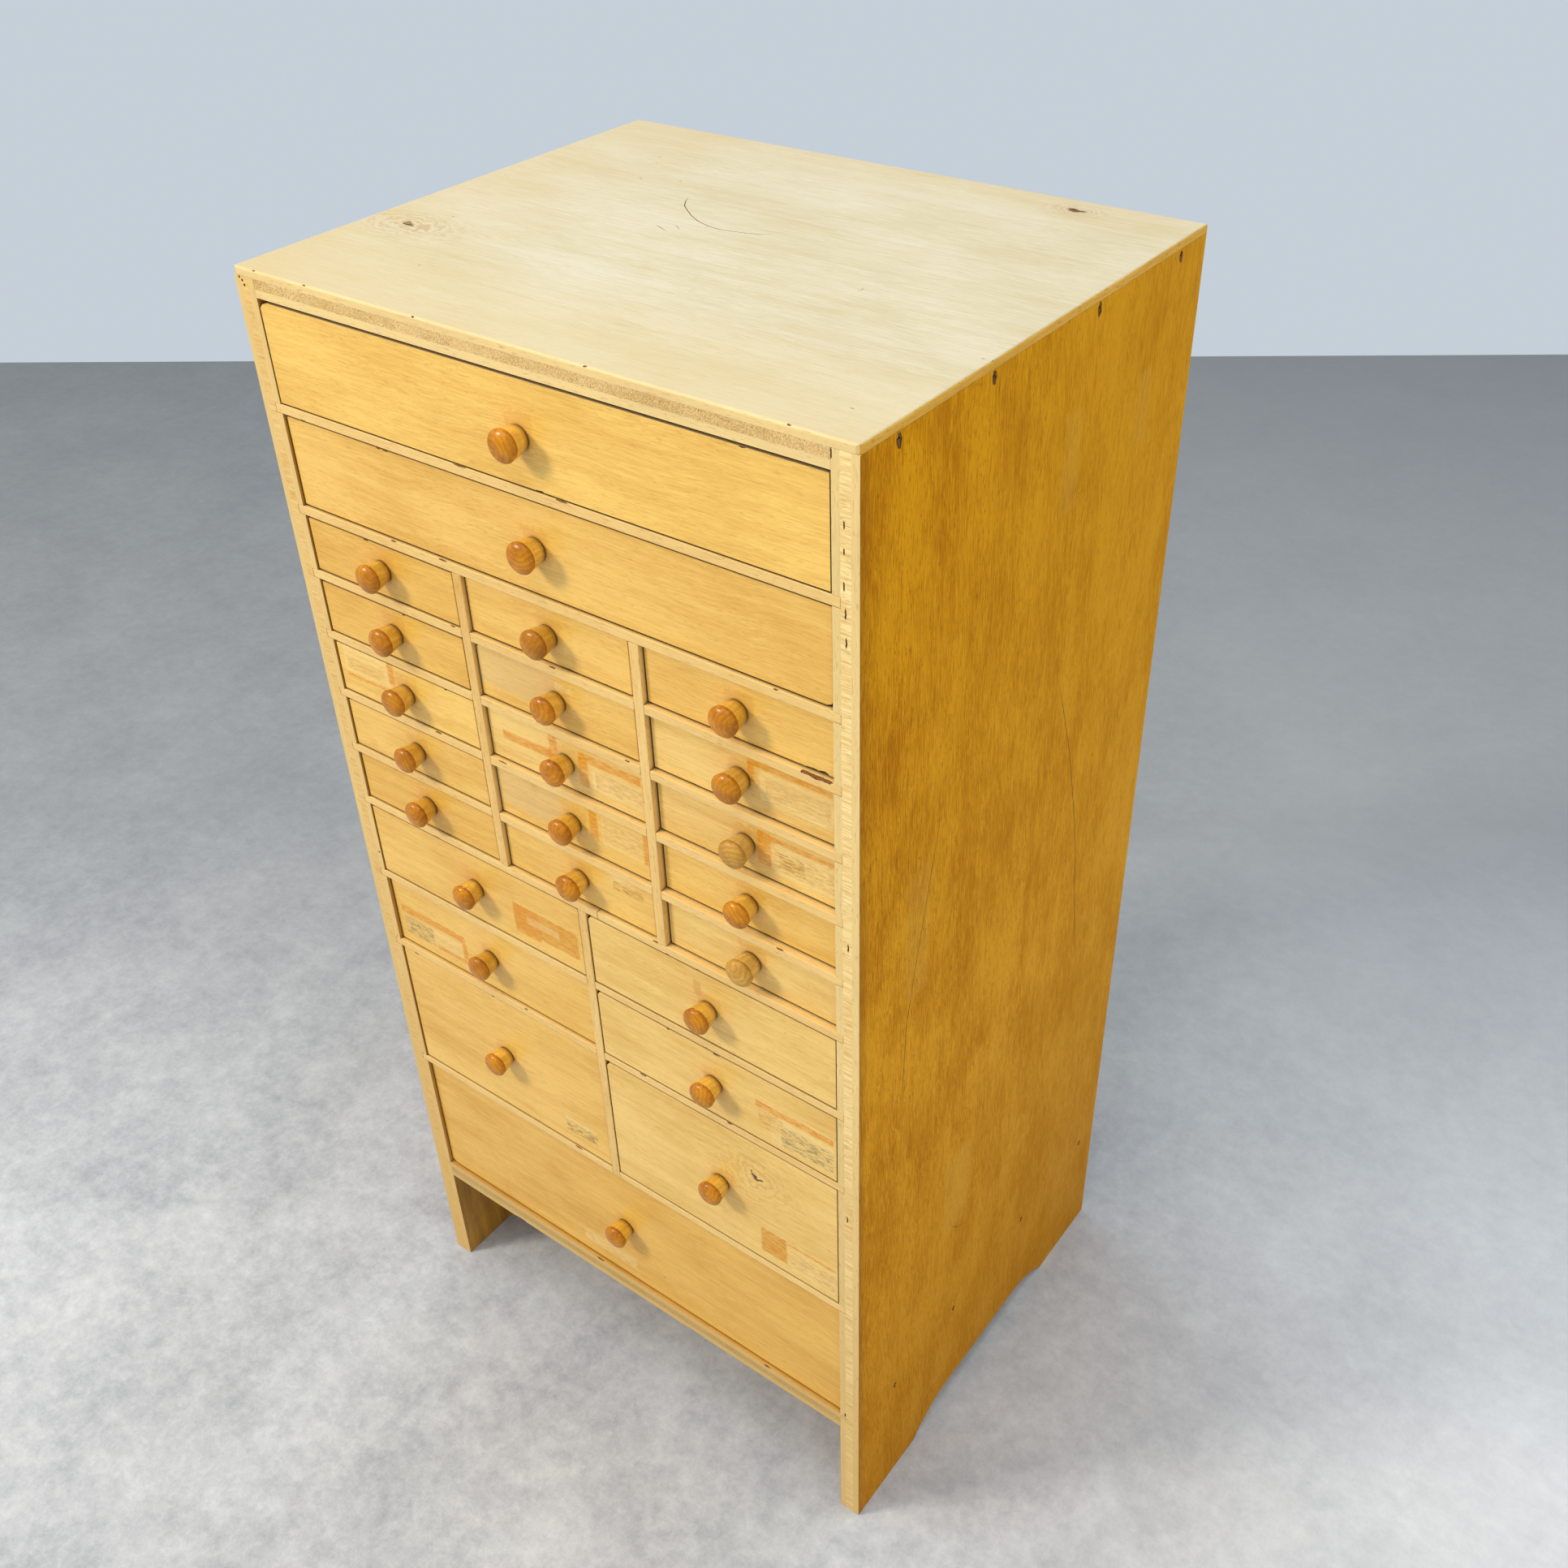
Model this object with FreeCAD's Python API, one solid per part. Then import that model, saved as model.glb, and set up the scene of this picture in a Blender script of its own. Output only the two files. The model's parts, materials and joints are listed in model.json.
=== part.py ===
import FreeCAD
import Part
import math
import os

# A standing cabinet of small drawers for watch and clock parts, in millimetres.
# +Z is up and the drawer fronts face -Y. The origin is on the floor, under the
# middle of the whole cabinet, knobs included.

# Cabinet
cabinet_width = 430.0
cabinet_depth = 352.0
cabinet_height = 875.0
board_thickness = 16.0
leg_height = 104.0
shelf_thickness = 6.0
divider_thickness = 7.0
back_panel_thickness = 4.0

# Joints of the cabinet
tongue_thickness = 5.0
housing_depth = 5.0
back_rebate_width = 8.0
joint_gap = 0.1
arris_radius = 1.5
splice_offset = 14.0
splice_gap = 0.3
cutter_overrun = 1.0

# Arch between the front and back foot of each side panel
foot_length = 76.0
arch_height = 20.0
arch_curve_length = 50.0

# Flat brads through the sides, into the top panel and the bottom board
brad_width = 4.0
brad_thickness = 1.4
brad_length = 30.0
brad_sunk = 1.0
brad_below_top = 9.0
brad_above_underside = 7.0

# Brads of the top panel and of the bottom board, each by its distance from the nearer edge
top_brads_from_front = [31.0, 115.0]
top_brads_from_back = [129.0, 32.0]
bottom_brads_from_front = [47.0, 128.0]
bottom_brads_from_back = [121.0, 24.0]

# Heights of the drawer openings in a cabinet 875 mm high. They are shares: the clear height
# between the boards and shelves is dealt out in proportion to them
top_opening = 64.0
second_opening = 60.5
small_opening = 38.8
half_opening = 60.5
deep_opening = 118.0
bottom_opening = 121.5

# Drawers
front_thickness = 10.0
front_lip = 4.0
tray_side_thickness = 6.0
tray_back_thickness = 6.0
tray_bottom_thickness = 3.0
groove_depth = 3.0
groove_height = 5.0
side_clearance = 0.75
clearance_above = 2.0
clearance_below = 1.0
runner_clearance = 0.3
clearance_behind = 2.1
tray_step_down = 3.0

# Turned knob, from the drawer front outwards
knob_base_radius = 7.3
knob_shank_radius = 9.1
knob_head_radius = 9.7
knob_face_radius = 7.0
knob_shank_length = 10.2
knob_head_length = 2.6
knob_length = 16.6
top_knob_drop = 2.5

# How far each drawer front stands back from the cabinet's front edges, one row of
# drawers to a line and one number to a drawer, from left to right
top_setbacks = [0.5]
second_setbacks = [1.8]
small_setbacks = [
    [1.2, 2.7, 3.4],
    [1.0, 2.8, 3.8],
    [1.2, 3.5, 4.5],
    [1.3, 3.2, 4.9],
    [1.5, 3.2, 4.5],
]
half_setbacks = [
    [0.9, 0.7],
    [2.7, 0.5],
]
deep_setbacks = [1.2, 0.5]
bottom_setbacks = [2.8]

# Clear width, clear depth and the level that the lowest drawer stands on
inner_half_width = cabinet_width / 2 - board_thickness
inner_depth = cabinet_depth - back_panel_thickness
floor_of_drawers = leg_height + board_thickness

column_names = {1: [""], 2: ["_left", "_right"], 3: ["_left", "_middle", "_right"]}


def drawer_rows():
    """The rows of drawers from the bottom up: name, opening height and setbacks."""
    rows = [("bottom", bottom_opening, bottom_setbacks)]
    rows.append(("deep", deep_opening, deep_setbacks))
    for number in range(len(half_setbacks), 0, -1):
        rows.append(("half_%d" % number, half_opening, half_setbacks[number - 1]))
    for number in range(len(small_setbacks), 0, -1):
        rows.append(("small_%d" % number, small_opening, small_setbacks[number - 1]))
    rows.append(("second", second_opening, second_setbacks))
    rows.append(("top", top_opening, top_setbacks))
    return rows


def opening_levels():
    """Each row with the height of its opening's floor and ceiling."""
    rows = drawer_rows()
    shelf_stack = (len(rows) - 1) * shelf_thickness
    clear_height = cabinet_height - board_thickness - floor_of_drawers - shelf_stack
    share = clear_height / sum(height for name, height, setbacks in rows)
    levels = []
    floor = floor_of_drawers
    for name, height, setbacks in rows:
        levels.append((name, floor, floor + height * share, setbacks))
        floor += height * share + shelf_thickness
    return levels


levels = opening_levels()
top_underside = cabinet_height - board_thickness

# The divider of the half-width drawers runs on down through the shelf under this row
last_crossed_row = "deep"

# The shelf under this row is in two lengths
spliced_row = "small_%d" % len(small_setbacks)


def shelf_places():
    """Every shelf: the row that stands on it, its underside and the columns cut in it."""
    places = []
    for below, above in zip(levels, levels[1:]):
        columns = len(above[3])
        crossed = columns == len(below[3]) or above[0] == last_crossed_row
        places.append((above[0], below[2], columns if crossed else 1))
    return places


shelves = shelf_places()


def column_edges(count):
    """Left and right edge of each column, with dividers between them."""
    width = (2 * inner_half_width - (count - 1) * divider_thickness) / count
    lefts = [-inner_half_width + index * (width + divider_thickness) for index in range(count)]
    return [(left, left + width) for left in lefts]


def divider_edges(count):
    """Left and right face of each divider among so many columns."""
    columns = column_edges(count)
    return [(left[1], right[0]) for left, right in zip(columns, columns[1:])]


def block(x_range, y_range, z_range):
    """A rectangular block between two values on each axis."""
    size = [high - low for low, high in (x_range, y_range, z_range)]
    corner = FreeCAD.Vector(x_range[0], y_range[0], z_range[0])
    return Part.makeBox(size[0], size[1], size[2], corner)


def both_ways(half):
    """The range from minus a half width to plus it."""
    return (-half, half)


def cut_away(solid, tools):
    """The solid with every tool cut out of it."""
    for tool in tools:
        solid = solid.cut(tool)
    return solid


def brad_places():
    """Depth and height of every brad in one side panel."""
    top_height = cabinet_height - brad_below_top
    bottom_height = leg_height + brad_above_underside
    places = [(depth, top_height) for depth in top_brads_from_front]
    places += [(cabinet_depth - depth, top_height) for depth in top_brads_from_back]
    places += [(depth, bottom_height) for depth in bottom_brads_from_front]
    places += [(cabinet_depth - depth, bottom_height) for depth in bottom_brads_from_back]
    return places


def brads(clearance, hidden_length=0.0):
    """The right-hand brads; with a clearance, the slots that they sit in."""
    head = cabinet_width / 2 - brad_sunk + hidden_length
    point = cabinet_width / 2 - brad_sunk - brad_length - clearance
    bars = []
    for depth, height in brad_places():
        across = (depth - brad_width / 2 - clearance, depth + brad_width / 2 + clearance)
        upright = (height - brad_thickness / 2 - clearance, height + brad_thickness / 2 + clearance)
        bars.append(block((point, head), across, upright))
    return bars


def mirrored(shape):
    """The same shape on the other side of the cabinet's middle."""
    return shape.mirror(FreeCAD.Vector(0, 0, 0), FreeCAD.Vector(1, 0, 0))


def arch_radius():
    """Radius of the curves that run into the level top of the arch."""
    return (arch_curve_length ** 2 + arch_height ** 2) / (2 * arch_height)


def side_outline():
    """Outline of a side panel seen from the side, with the arch between its feet."""
    radius = arch_radius()
    half_turn = math.asin(arch_curve_length / radius) / 2
    reach = radius * math.sin(half_turn)
    rise = arch_height - radius + radius * math.cos(half_turn)
    curve_front = foot_length + arch_curve_length
    curve_back = cabinet_depth - foot_length - arch_curve_length
    side_top = cabinet_height - tongue_thickness - joint_gap

    def point(depth, height):
        return FreeCAD.Vector(cabinet_width / 2 - board_thickness, depth, height)

    front_curve = Part.Arc(
        point(foot_length, 0), point(curve_front - reach, rise), point(curve_front, arch_height))
    back_curve = Part.Arc(
        point(curve_back, arch_height), point(curve_back + reach, rise),
        point(cabinet_depth - foot_length, 0))
    corners = [
        point(cabinet_depth - foot_length, 0),
        point(cabinet_depth, 0),
        point(cabinet_depth, side_top),
        point(0, side_top),
        point(0, 0),
        point(foot_length, 0),
    ]
    edges = [front_curve.toShape()]
    edges.append(Part.makeLine(point(curve_front, arch_height), point(curve_back, arch_height)))
    edges.append(back_curve.toShape())
    for start, end in zip(corners, corners[1:]):
        edges.append(Part.makeLine(start, end))
    return Part.Wire(Part.__sortEdges__(edges))


def side_panel():
    """Right side panel, housed for the shelves and the bottom board's tongue."""
    panel = Part.Face(side_outline()).extrude(FreeCAD.Vector(board_thickness, 0, 0))
    housing_x = (inner_half_width - cutter_overrun, inner_half_width + housing_depth)
    through = (-cutter_overrun, cabinet_depth + cutter_overrun)
    tools = []
    for row, height, columns in shelves:
        grip = (height - joint_gap, height + shelf_thickness + joint_gap)
        tools.append(block(housing_x, through, grip))
    tongue = (floor_of_drawers - tongue_thickness - joint_gap, floor_of_drawers + joint_gap)
    tools.append(block(housing_x, through, tongue))
    rebate_x = (inner_half_width - cutter_overrun, inner_half_width + back_rebate_width)
    rebate_y = (inner_depth - joint_gap, cabinet_depth + cutter_overrun)
    tools.append(block(rebate_x, rebate_y, (-cutter_overrun, cabinet_height)))
    return cut_away(panel, tools + brads(joint_gap, brad_sunk + cutter_overrun))


def top_panel():
    """Top panel, its end tongues lapped over the side panels."""
    panel = block(
        both_ways(cabinet_width / 2), (0, cabinet_depth), (top_underside, cabinet_height))
    rounded = [edge for edge in panel.Edges if edge.BoundBox.ZMin > cabinet_height - joint_gap]
    panel = panel.makeFillet(arris_radius, rounded)
    shoulder = inner_half_width - joint_gap
    lap = block(
        (shoulder, cabinet_width), (-cutter_overrun, cabinet_depth + cutter_overrun),
        (top_underside - cutter_overrun, cabinet_height - tongue_thickness))
    back_rebate = block(
        both_ways(cabinet_width), (inner_depth - joint_gap, cabinet_depth + cutter_overrun),
        (top_underside - cutter_overrun, top_underside + back_rebate_width))
    right_brads = brads(joint_gap)
    left_brads = [mirrored(brad) for brad in right_brads]
    return cut_away(panel, [lap, mirrored(lap), back_rebate] + right_brads + left_brads)


def housed_half_width():
    """Half the length of a piece whose two ends sit in the side panels' housings."""
    return inner_half_width + housing_depth - joint_gap


def bottom_board():
    """Bottom board with a shouldered tongue at each end."""
    depth = (0, inner_depth - joint_gap)
    body = block(
        both_ways(inner_half_width - joint_gap), depth, (leg_height, floor_of_drawers))
    tongue = block(
        both_ways(housed_half_width()), depth,
        (floor_of_drawers - tongue_thickness, floor_of_drawers))
    right_brads = brads(joint_gap)
    left_brads = [mirrored(brad) for brad in right_brads]
    return cut_away(body.fuse(tongue).removeSplitter(), right_brads + left_brads)


def back_panel():
    """Thin back panel in the rebates of the sides and the top panel."""
    return block(
        both_ways(inner_half_width + back_rebate_width - joint_gap),
        (inner_depth, cabinet_depth),
        (leg_height, top_underside + back_rebate_width - joint_gap))


def halving_depth():
    """Depth at which a shelf and a divider that cross share their width."""
    return inner_depth / 2


def shelf(height, column_count):
    """A shelf at this height, slotted from the front for the dividers of its columns."""
    board = block(
        both_ways(housed_half_width()), (0, inner_depth - joint_gap),
        (height, height + shelf_thickness))
    slots = []
    for left, right in divider_edges(column_count):
        slots.append(block(
            (left - joint_gap, right + joint_gap), (-cutter_overrun, halving_depth() + joint_gap),
            (height - cutter_overrun, height + shelf_thickness + cutter_overrun)))
    return cut_away(board, slots)


def divider(faces, bottom, top, crossing_heights):
    """An upright divider, slotted from the back for the shelves that cross it."""
    board = block(faces, (0, inner_depth - joint_gap), (bottom, top - joint_gap))
    slots = []
    for height in crossing_heights:
        slots.append(block(
            (faces[0] - cutter_overrun, faces[1] + cutter_overrun),
            (halving_depth() - joint_gap, cabinet_depth),
            (height - joint_gap, height + shelf_thickness + joint_gap)))
    return cut_away(board, slots)


def spliced(board):
    """A shelf cut into the two lengths that butt near its middle, left length first."""
    left_end = splice_offset - splice_gap / 2
    gap = block(
        (left_end, left_end + splice_gap), (-cutter_overrun, cabinet_depth), (0, cabinet_height))
    return sorted(board.cut(gap).Solids, key=lambda length: length.BoundBox.XMin)


def knob(x_middle, y_face, z_middle):
    """Turned knob: flared shank, wider head and flat face, standing on a drawer front."""
    profile = [
        (0, 0),
        (knob_base_radius, 0),
        (knob_shank_radius, knob_shank_length),
        (knob_head_radius, knob_shank_length + knob_head_length),
        (knob_face_radius, knob_length),
        (0, knob_length),
    ]
    points = [FreeCAD.Vector(x_middle + radius, y_face - joint_gap - reach, z_middle)
              for radius, reach in profile]
    edges = [Part.makeLine(points[0], points[1])]
    for start, end in zip(points[1:-2], points[2:-1]):
        flank = Part.BSplineCurve()
        flank.buildFromPolesMultsKnots([start, end], [2, 2], [0, 1], False, 1)
        edges.append(flank.toShape())
    edges.append(Part.makeLine(points[-2], points[-1]))
    edges.append(Part.makeLine(points[-1], points[0]))
    face = Part.Face(Part.Wire(edges))
    return face.revolve(FreeCAD.Vector(x_middle, 0, z_middle), FreeCAD.Vector(0, 1, 0), 360)


def front_heights(opening_floor, opening_ceiling):
    """Lower and upper edge of a drawer front in its opening."""
    return (opening_floor + clearance_below, opening_ceiling - clearance_above)


def groove_heights(opening_floor):
    """Lower and upper face of the groove that holds a drawer's bottom."""
    low = opening_floor + clearance_below + groove_height
    return (low - joint_gap, low + tray_bottom_thickness + joint_gap)


def drawer_front(x_range, opening_floor, opening_ceiling, setback, knob_drop):
    """Front board, rebated for the sides and grooved for the bottom, with its knob."""
    heights = front_heights(opening_floor, opening_ceiling)
    board = block(x_range, (setback, setback + front_thickness), heights)
    board_back = setback + front_thickness
    rebate_y = (setback + front_lip, board_back + cutter_overrun)
    rebate_z = (heights[0] - cutter_overrun, heights[1] + cutter_overrun)
    inset = tray_side_thickness + joint_gap
    rebates = [
        block((x_range[0] - cutter_overrun, x_range[0] + inset), rebate_y, rebate_z),
        block((x_range[1] - inset, x_range[1] + cutter_overrun), rebate_y, rebate_z),
    ]
    groove_y = (board_back - groove_depth, board_back + cutter_overrun)
    groove = block(x_range, groove_y, groove_heights(opening_floor))
    board = cut_away(board, rebates + [groove])
    return [board, knob(sum(x_range) / 2, setback, sum(heights) / 2 - knob_drop)]


def largest_setback():
    """How far the deepest-set drawer front stands back from the cabinet's front edges."""
    return max(setback for level in levels for setback in level[3])


def drawer_length():
    """Length of every drawer, so that the deepest-set one clears the back panel."""
    return inner_depth - clearance_behind - largest_setback()


def drawer_box(x_range, opening_floor, opening_ceiling, setback):
    """Sides, back and bottom of a drawer."""
    tray_top = front_heights(opening_floor, opening_ceiling)[1] - tray_step_down
    heights = (opening_floor + runner_clearance, tray_top)
    inner = (x_range[0] + tray_side_thickness, x_range[1] - tray_side_thickness)
    end = setback + drawer_length()
    side_y = (setback + front_lip + joint_gap, end)
    groove_z = groove_heights(opening_floor)
    groove_x = (inner[0] - groove_depth, inner[1] + groove_depth)
    groove = block(groove_x, (side_y[0] - cutter_overrun, end + cutter_overrun), groove_z)
    left_side = block((x_range[0], inner[0]), side_y, heights).cut(groove)
    right_side = block((inner[1], x_range[1]), side_y, heights).cut(groove)
    bottom = block(
        (inner[0] - groove_depth + joint_gap, inner[1] + groove_depth - joint_gap),
        (setback + front_thickness - groove_depth + joint_gap, end),
        (groove_z[0] + joint_gap, groove_z[1] - joint_gap))
    back = block(
        (inner[0] + joint_gap, inner[1] - joint_gap), (end - tray_back_thickness, end),
        (groove_z[1], tray_top))
    return [left_side, right_side, bottom, back]


def drawers():
    """Every drawer by name: the solids of its front, its knob and its box."""
    made = {}
    for row, floor, ceiling, setbacks in levels:
        names = column_names[len(setbacks)]
        for column, edges, setback in zip(names, column_edges(len(setbacks)), setbacks):
            x_range = (edges[0] + side_clearance, edges[1] - side_clearance)
            knob_drop = top_knob_drop if row == "top" else 0
            front = drawer_front(x_range, floor, ceiling, setback, knob_drop)
            box = drawer_box(x_range, floor, ceiling, setback)
            made["drawer_" + row + column] = front + box
    return made


def shelf_boards():
    """Every shelf by the name of the row that stands on it."""
    made = {}
    for row, height, columns in shelves:
        board = shelf(height, columns)
        if row == spliced_row:
            lengths = spliced(board)
            made["shelf_under_" + row + "_left"] = [lengths[0]]
            made["shelf_under_" + row + "_right"] = [lengths[1]]
        else:
            made["shelf_under_" + row] = [board]
    return made


def divider_boards():
    """The dividers of the small and of the half-width drawers."""
    heights = {row: height for row, height, columns in shelves}
    small_columns = len(small_setbacks[0])
    crossed_by_small = [height for row, height, columns in shelves if columns == small_columns]
    crossed_by_half = [height for row, height, columns in shelves if columns == len(deep_setbacks)]
    small_bottom = heights[spliced_row] + shelf_thickness + joint_gap
    made = {}
    for side, faces in zip(("left", "right"), divider_edges(small_columns)):
        made["divider_small_" + side] = [
            divider(faces, small_bottom, heights["second"], crossed_by_small)]
    for faces in divider_edges(len(deep_setbacks)):
        made["divider_half"] = [
            divider(faces, heights[last_crossed_row], heights[spliced_row], crossed_by_half)]
    return made


def outer_pieces():
    """The two sides with their brads, the top, the bottom board and the back."""
    right_side = side_panel()
    right_brads = brads(0.0)
    return {
        "side_panel_left": [mirrored(right_side)],
        "side_panel_right": [right_side],
        "top_panel": [top_panel()],
        "bottom_board": [bottom_board()],
        "back_panel": [back_panel()],
        "brads_left": [mirrored(brad) for brad in right_brads],
        "brads_right": right_brads,
    }


def knob_stand_out():
    """How far the foremost knob stands out past the cabinet's front edges."""
    smallest_setback = min(setback for level in levels for setback in level[3])
    return knob_length + joint_gap - smallest_setback


def save(node, solids):
    """One STEP file for a node, moved so that the origin is under its middle."""
    shape = Part.makeCompound(solids) if len(solids) > 1 else solids[0]
    shift = FreeCAD.Vector(0, (knob_stand_out() - cabinet_depth) / 2, 0)
    shape = shape.copy()
    shape.translate(shift)
    shape.exportStep("parts/" + node + ".step")


os.makedirs("parts", exist_ok=True)
for group in (outer_pieces(), shelf_boards(), divider_boards(), drawers()):
    for node, solids in group.items():
        save(node, solids)
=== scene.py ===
"""Parts cabinet of varnished board with 24 drawers and turned knobs.

Every piece starts from the solids of the frame: its arrises are eased, its layers and
worn places are cut into it, and it gets a wood finish whose grain has its real size.
"""

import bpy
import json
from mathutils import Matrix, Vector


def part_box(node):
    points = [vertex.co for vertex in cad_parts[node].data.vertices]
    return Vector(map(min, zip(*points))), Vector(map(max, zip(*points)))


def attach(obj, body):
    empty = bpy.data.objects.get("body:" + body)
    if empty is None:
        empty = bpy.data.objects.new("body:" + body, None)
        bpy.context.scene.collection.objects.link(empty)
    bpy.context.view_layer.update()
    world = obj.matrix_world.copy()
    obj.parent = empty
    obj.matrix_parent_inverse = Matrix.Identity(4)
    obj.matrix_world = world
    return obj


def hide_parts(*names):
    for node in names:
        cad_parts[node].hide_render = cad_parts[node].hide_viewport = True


bl_info = {
    "name": "Watchmaker's parts cabinet",
    "version": (1, 0, 0),
    "blender": (4, 5, 0),
    "location": "3D View > Sidebar > Cabinet",
    "description": "Builds a varnished parts cabinet with small drawers and turned knobs",
    "category": "Object",
}

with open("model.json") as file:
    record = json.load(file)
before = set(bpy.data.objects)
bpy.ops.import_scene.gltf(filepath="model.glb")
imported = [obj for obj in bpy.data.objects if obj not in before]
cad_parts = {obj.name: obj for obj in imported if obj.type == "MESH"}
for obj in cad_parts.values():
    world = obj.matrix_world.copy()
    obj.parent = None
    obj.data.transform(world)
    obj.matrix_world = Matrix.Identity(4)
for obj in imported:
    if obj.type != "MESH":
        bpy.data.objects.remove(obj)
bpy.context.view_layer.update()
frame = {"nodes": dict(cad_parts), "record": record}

import json
import math
import random

import bmesh
import bpy
from mathutils import Matrix, Vector, noise

MM = 0.001
NODES = sorted(frame["nodes"])
DRAWERS = [node for node in NODES if node.startswith("drawer_")]
BODY_OF = {node: body for body, nodes in frame["record"]["behaviour"]["bodies"].items() for node in nodes}
CABINET_LOW, CABINET_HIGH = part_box("side_panel_left")[0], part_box("top_panel")[1]
FRONT_Y, REAR_Y = CABINET_LOW.y, CABINET_HIGH.y
LEFT_X, TOP_Z = CABINET_LOW.x, CABINET_HIGH.z
FOOT_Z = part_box("bottom_board")[0].z

# A face whose middle lies this close to an outer side of its board belongs to that side
NEAR = 2 * MM

# Millimetres that reach past every board, for patches that go right through
THROUGH = 900


def linear(code):
    """An sRGB hex colour as linear red, green, blue and alpha. One that is linear already stays."""
    if not isinstance(code, str):
        return tuple(code)
    values = [int(code[i:i + 2], 16) / 255 for i in (0, 2, 4)]
    return tuple(v / 12.92 if v <= 0.04045 else ((v + 0.055) / 1.055) ** 2.4 for v in values) + (1.0,)


def colour(name, description, code):
    """A colour that the user can change."""
    return bpy.props.FloatVectorProperty(
        name=name, description=description, subtype="COLOR", size=4, min=0, max=1, default=linear(code))


def length(name, description, millimetres):
    """A length that the user can change."""
    return bpy.props.FloatProperty(
        name=name, description=description, unit="LENGTH", subtype="DISTANCE", precision=5,
        min=0, default=millimetres * MM)


class CabinetSizes(bpy.types.PropertyGroup):
    """Sizes that the frame doesn't hold."""

    board_ease: length("Board easing", "Rounding of the sanded edges of the thick boards", 0.7)
    thin_ease: length("Shelf easing", "Rounding of the edges of shelves and dividers", 0.4)
    drawer_ease: length("Drawer easing", "Rounding of the edges of the drawer fronts", 0.5)
    inner_ease: length("Inner easing", "Rounding of the edges inside the drawers", 0.25)
    front_thickness: length("Front thickness", "Thickness of a drawer's front board", 10.0)
    knob_length: length("Knob length", "From the drawer front to the tip of the knob", 16.6)
    ply: length("Layer", "Thickness of the outer layers of the three-layer board", 4.9)
    screw_head: length("Screw head", "Width of the screw heads inside the drawer fronts", 7.5)


class CabinetColours(bpy.types.PropertyGroup):
    """Colours of the finishes."""

    honey: colour("Honey fronts", "Varnished veneer of most drawer fronts", "F2C362")
    golden: colour("Golden fronts", "Varnished veneer of the more golden drawer fronts", "F7CA67")
    straw: colour("Straw fronts", "Varnished veneer of the paler drawer fronts", "F4CB74")
    tan: colour("Tan fronts", "Varnished veneer of the browner drawer fronts", "EDBB56")
    side: colour("Side panels", "Amber varnish on the outer faces of the sides", "EBA300")
    side_dark: colour("Side panel grain", "Darker grain of the sides", "C07600")
    top: colour("Top", "Sun-bleached veneer of the top", "D9CFB2")
    top_dark: colour("Top grain", "Darker grain of the top", "C9B98F")
    edge: colour("Board edges", "Sanded long-grain edges of the outer layers", "EFD08C")
    core: colour("Core layer", "End grain of the middle layer at the edges", "FFE3A0")
    shelf: colour("Shelves", "Front edges of shelves and dividers", "F1CB80")
    raw: colour("Bare wood", "Unvarnished wood inside the drawers and behind", "DDBE8B")
    knob: colour("Knob faces", "Orange varnish on the domed faces of the knobs", "A35E00")
    shank: colour("Knob shanks", "Thinner varnish on the shanks of the knobs", "D09A28")
    residue: colour("Glue residue", "Amber glue left where paper labels were pulled off", "DC8C00")
    paper: colour("Paper residue", "Pale paper fibres left where labels were pulled off", "F9E2A2")


def sizes():
    """The sizes that the user has set."""
    return bpy.context.scene.cabinet_sizes


def colours():
    """The colours that the user has set."""
    return bpy.context.scene.cabinet_colours


# Materials


def add(tree, kind, *feeds, out=0, named=None, **settings):
    """Adds one shader node, sets it up, feeds its inputs in order or by name, and gives an output."""
    node = tree.nodes.new("ShaderNode" + kind)
    for key, value in settings.items():
        setattr(node, key, value)
    for key, value in list(enumerate(feeds)) + list((named or {}).items()):
        if isinstance(value, bpy.types.NodeSocket):
            tree.links.new(value, node.inputs[key])
        elif value is not None:
            node.inputs[key].default_value = value
    return node.outputs[out] if len(node.outputs) else node


def new_group(name, inputs, outputs):
    """An empty node group with these inputs, as (name, type), and number outputs."""
    group = bpy.data.node_groups.new(name, "ShaderNodeTree")
    for label, kind in inputs:
        group.interface.new_socket(label, in_out="INPUT", socket_type="NodeSocket" + kind)
    for label in outputs:
        group.interface.new_socket(label, in_out="OUTPUT", socket_type="NodeSocketFloat")
    return group, group.nodes.new("NodeGroupInput").outputs, group.nodes.new("NodeGroupOutput").inputs


def wander(tree, place, scale, detail, rough, reach):
    """A random shift by up to half the reach, which makes an outline ragged."""
    shift = add(tree, "TexNoise", out="Color", named={
        "Vector": place, "Scale": scale, "Detail": detail, "Roughness": rough})
    shift = add(tree, "VectorMath", shift, (0.5, 0.5, 0.5), operation="SUBTRACT")
    return add(tree, "VectorMath", shift, operation="SCALE", named={"Scale": reach})


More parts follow.
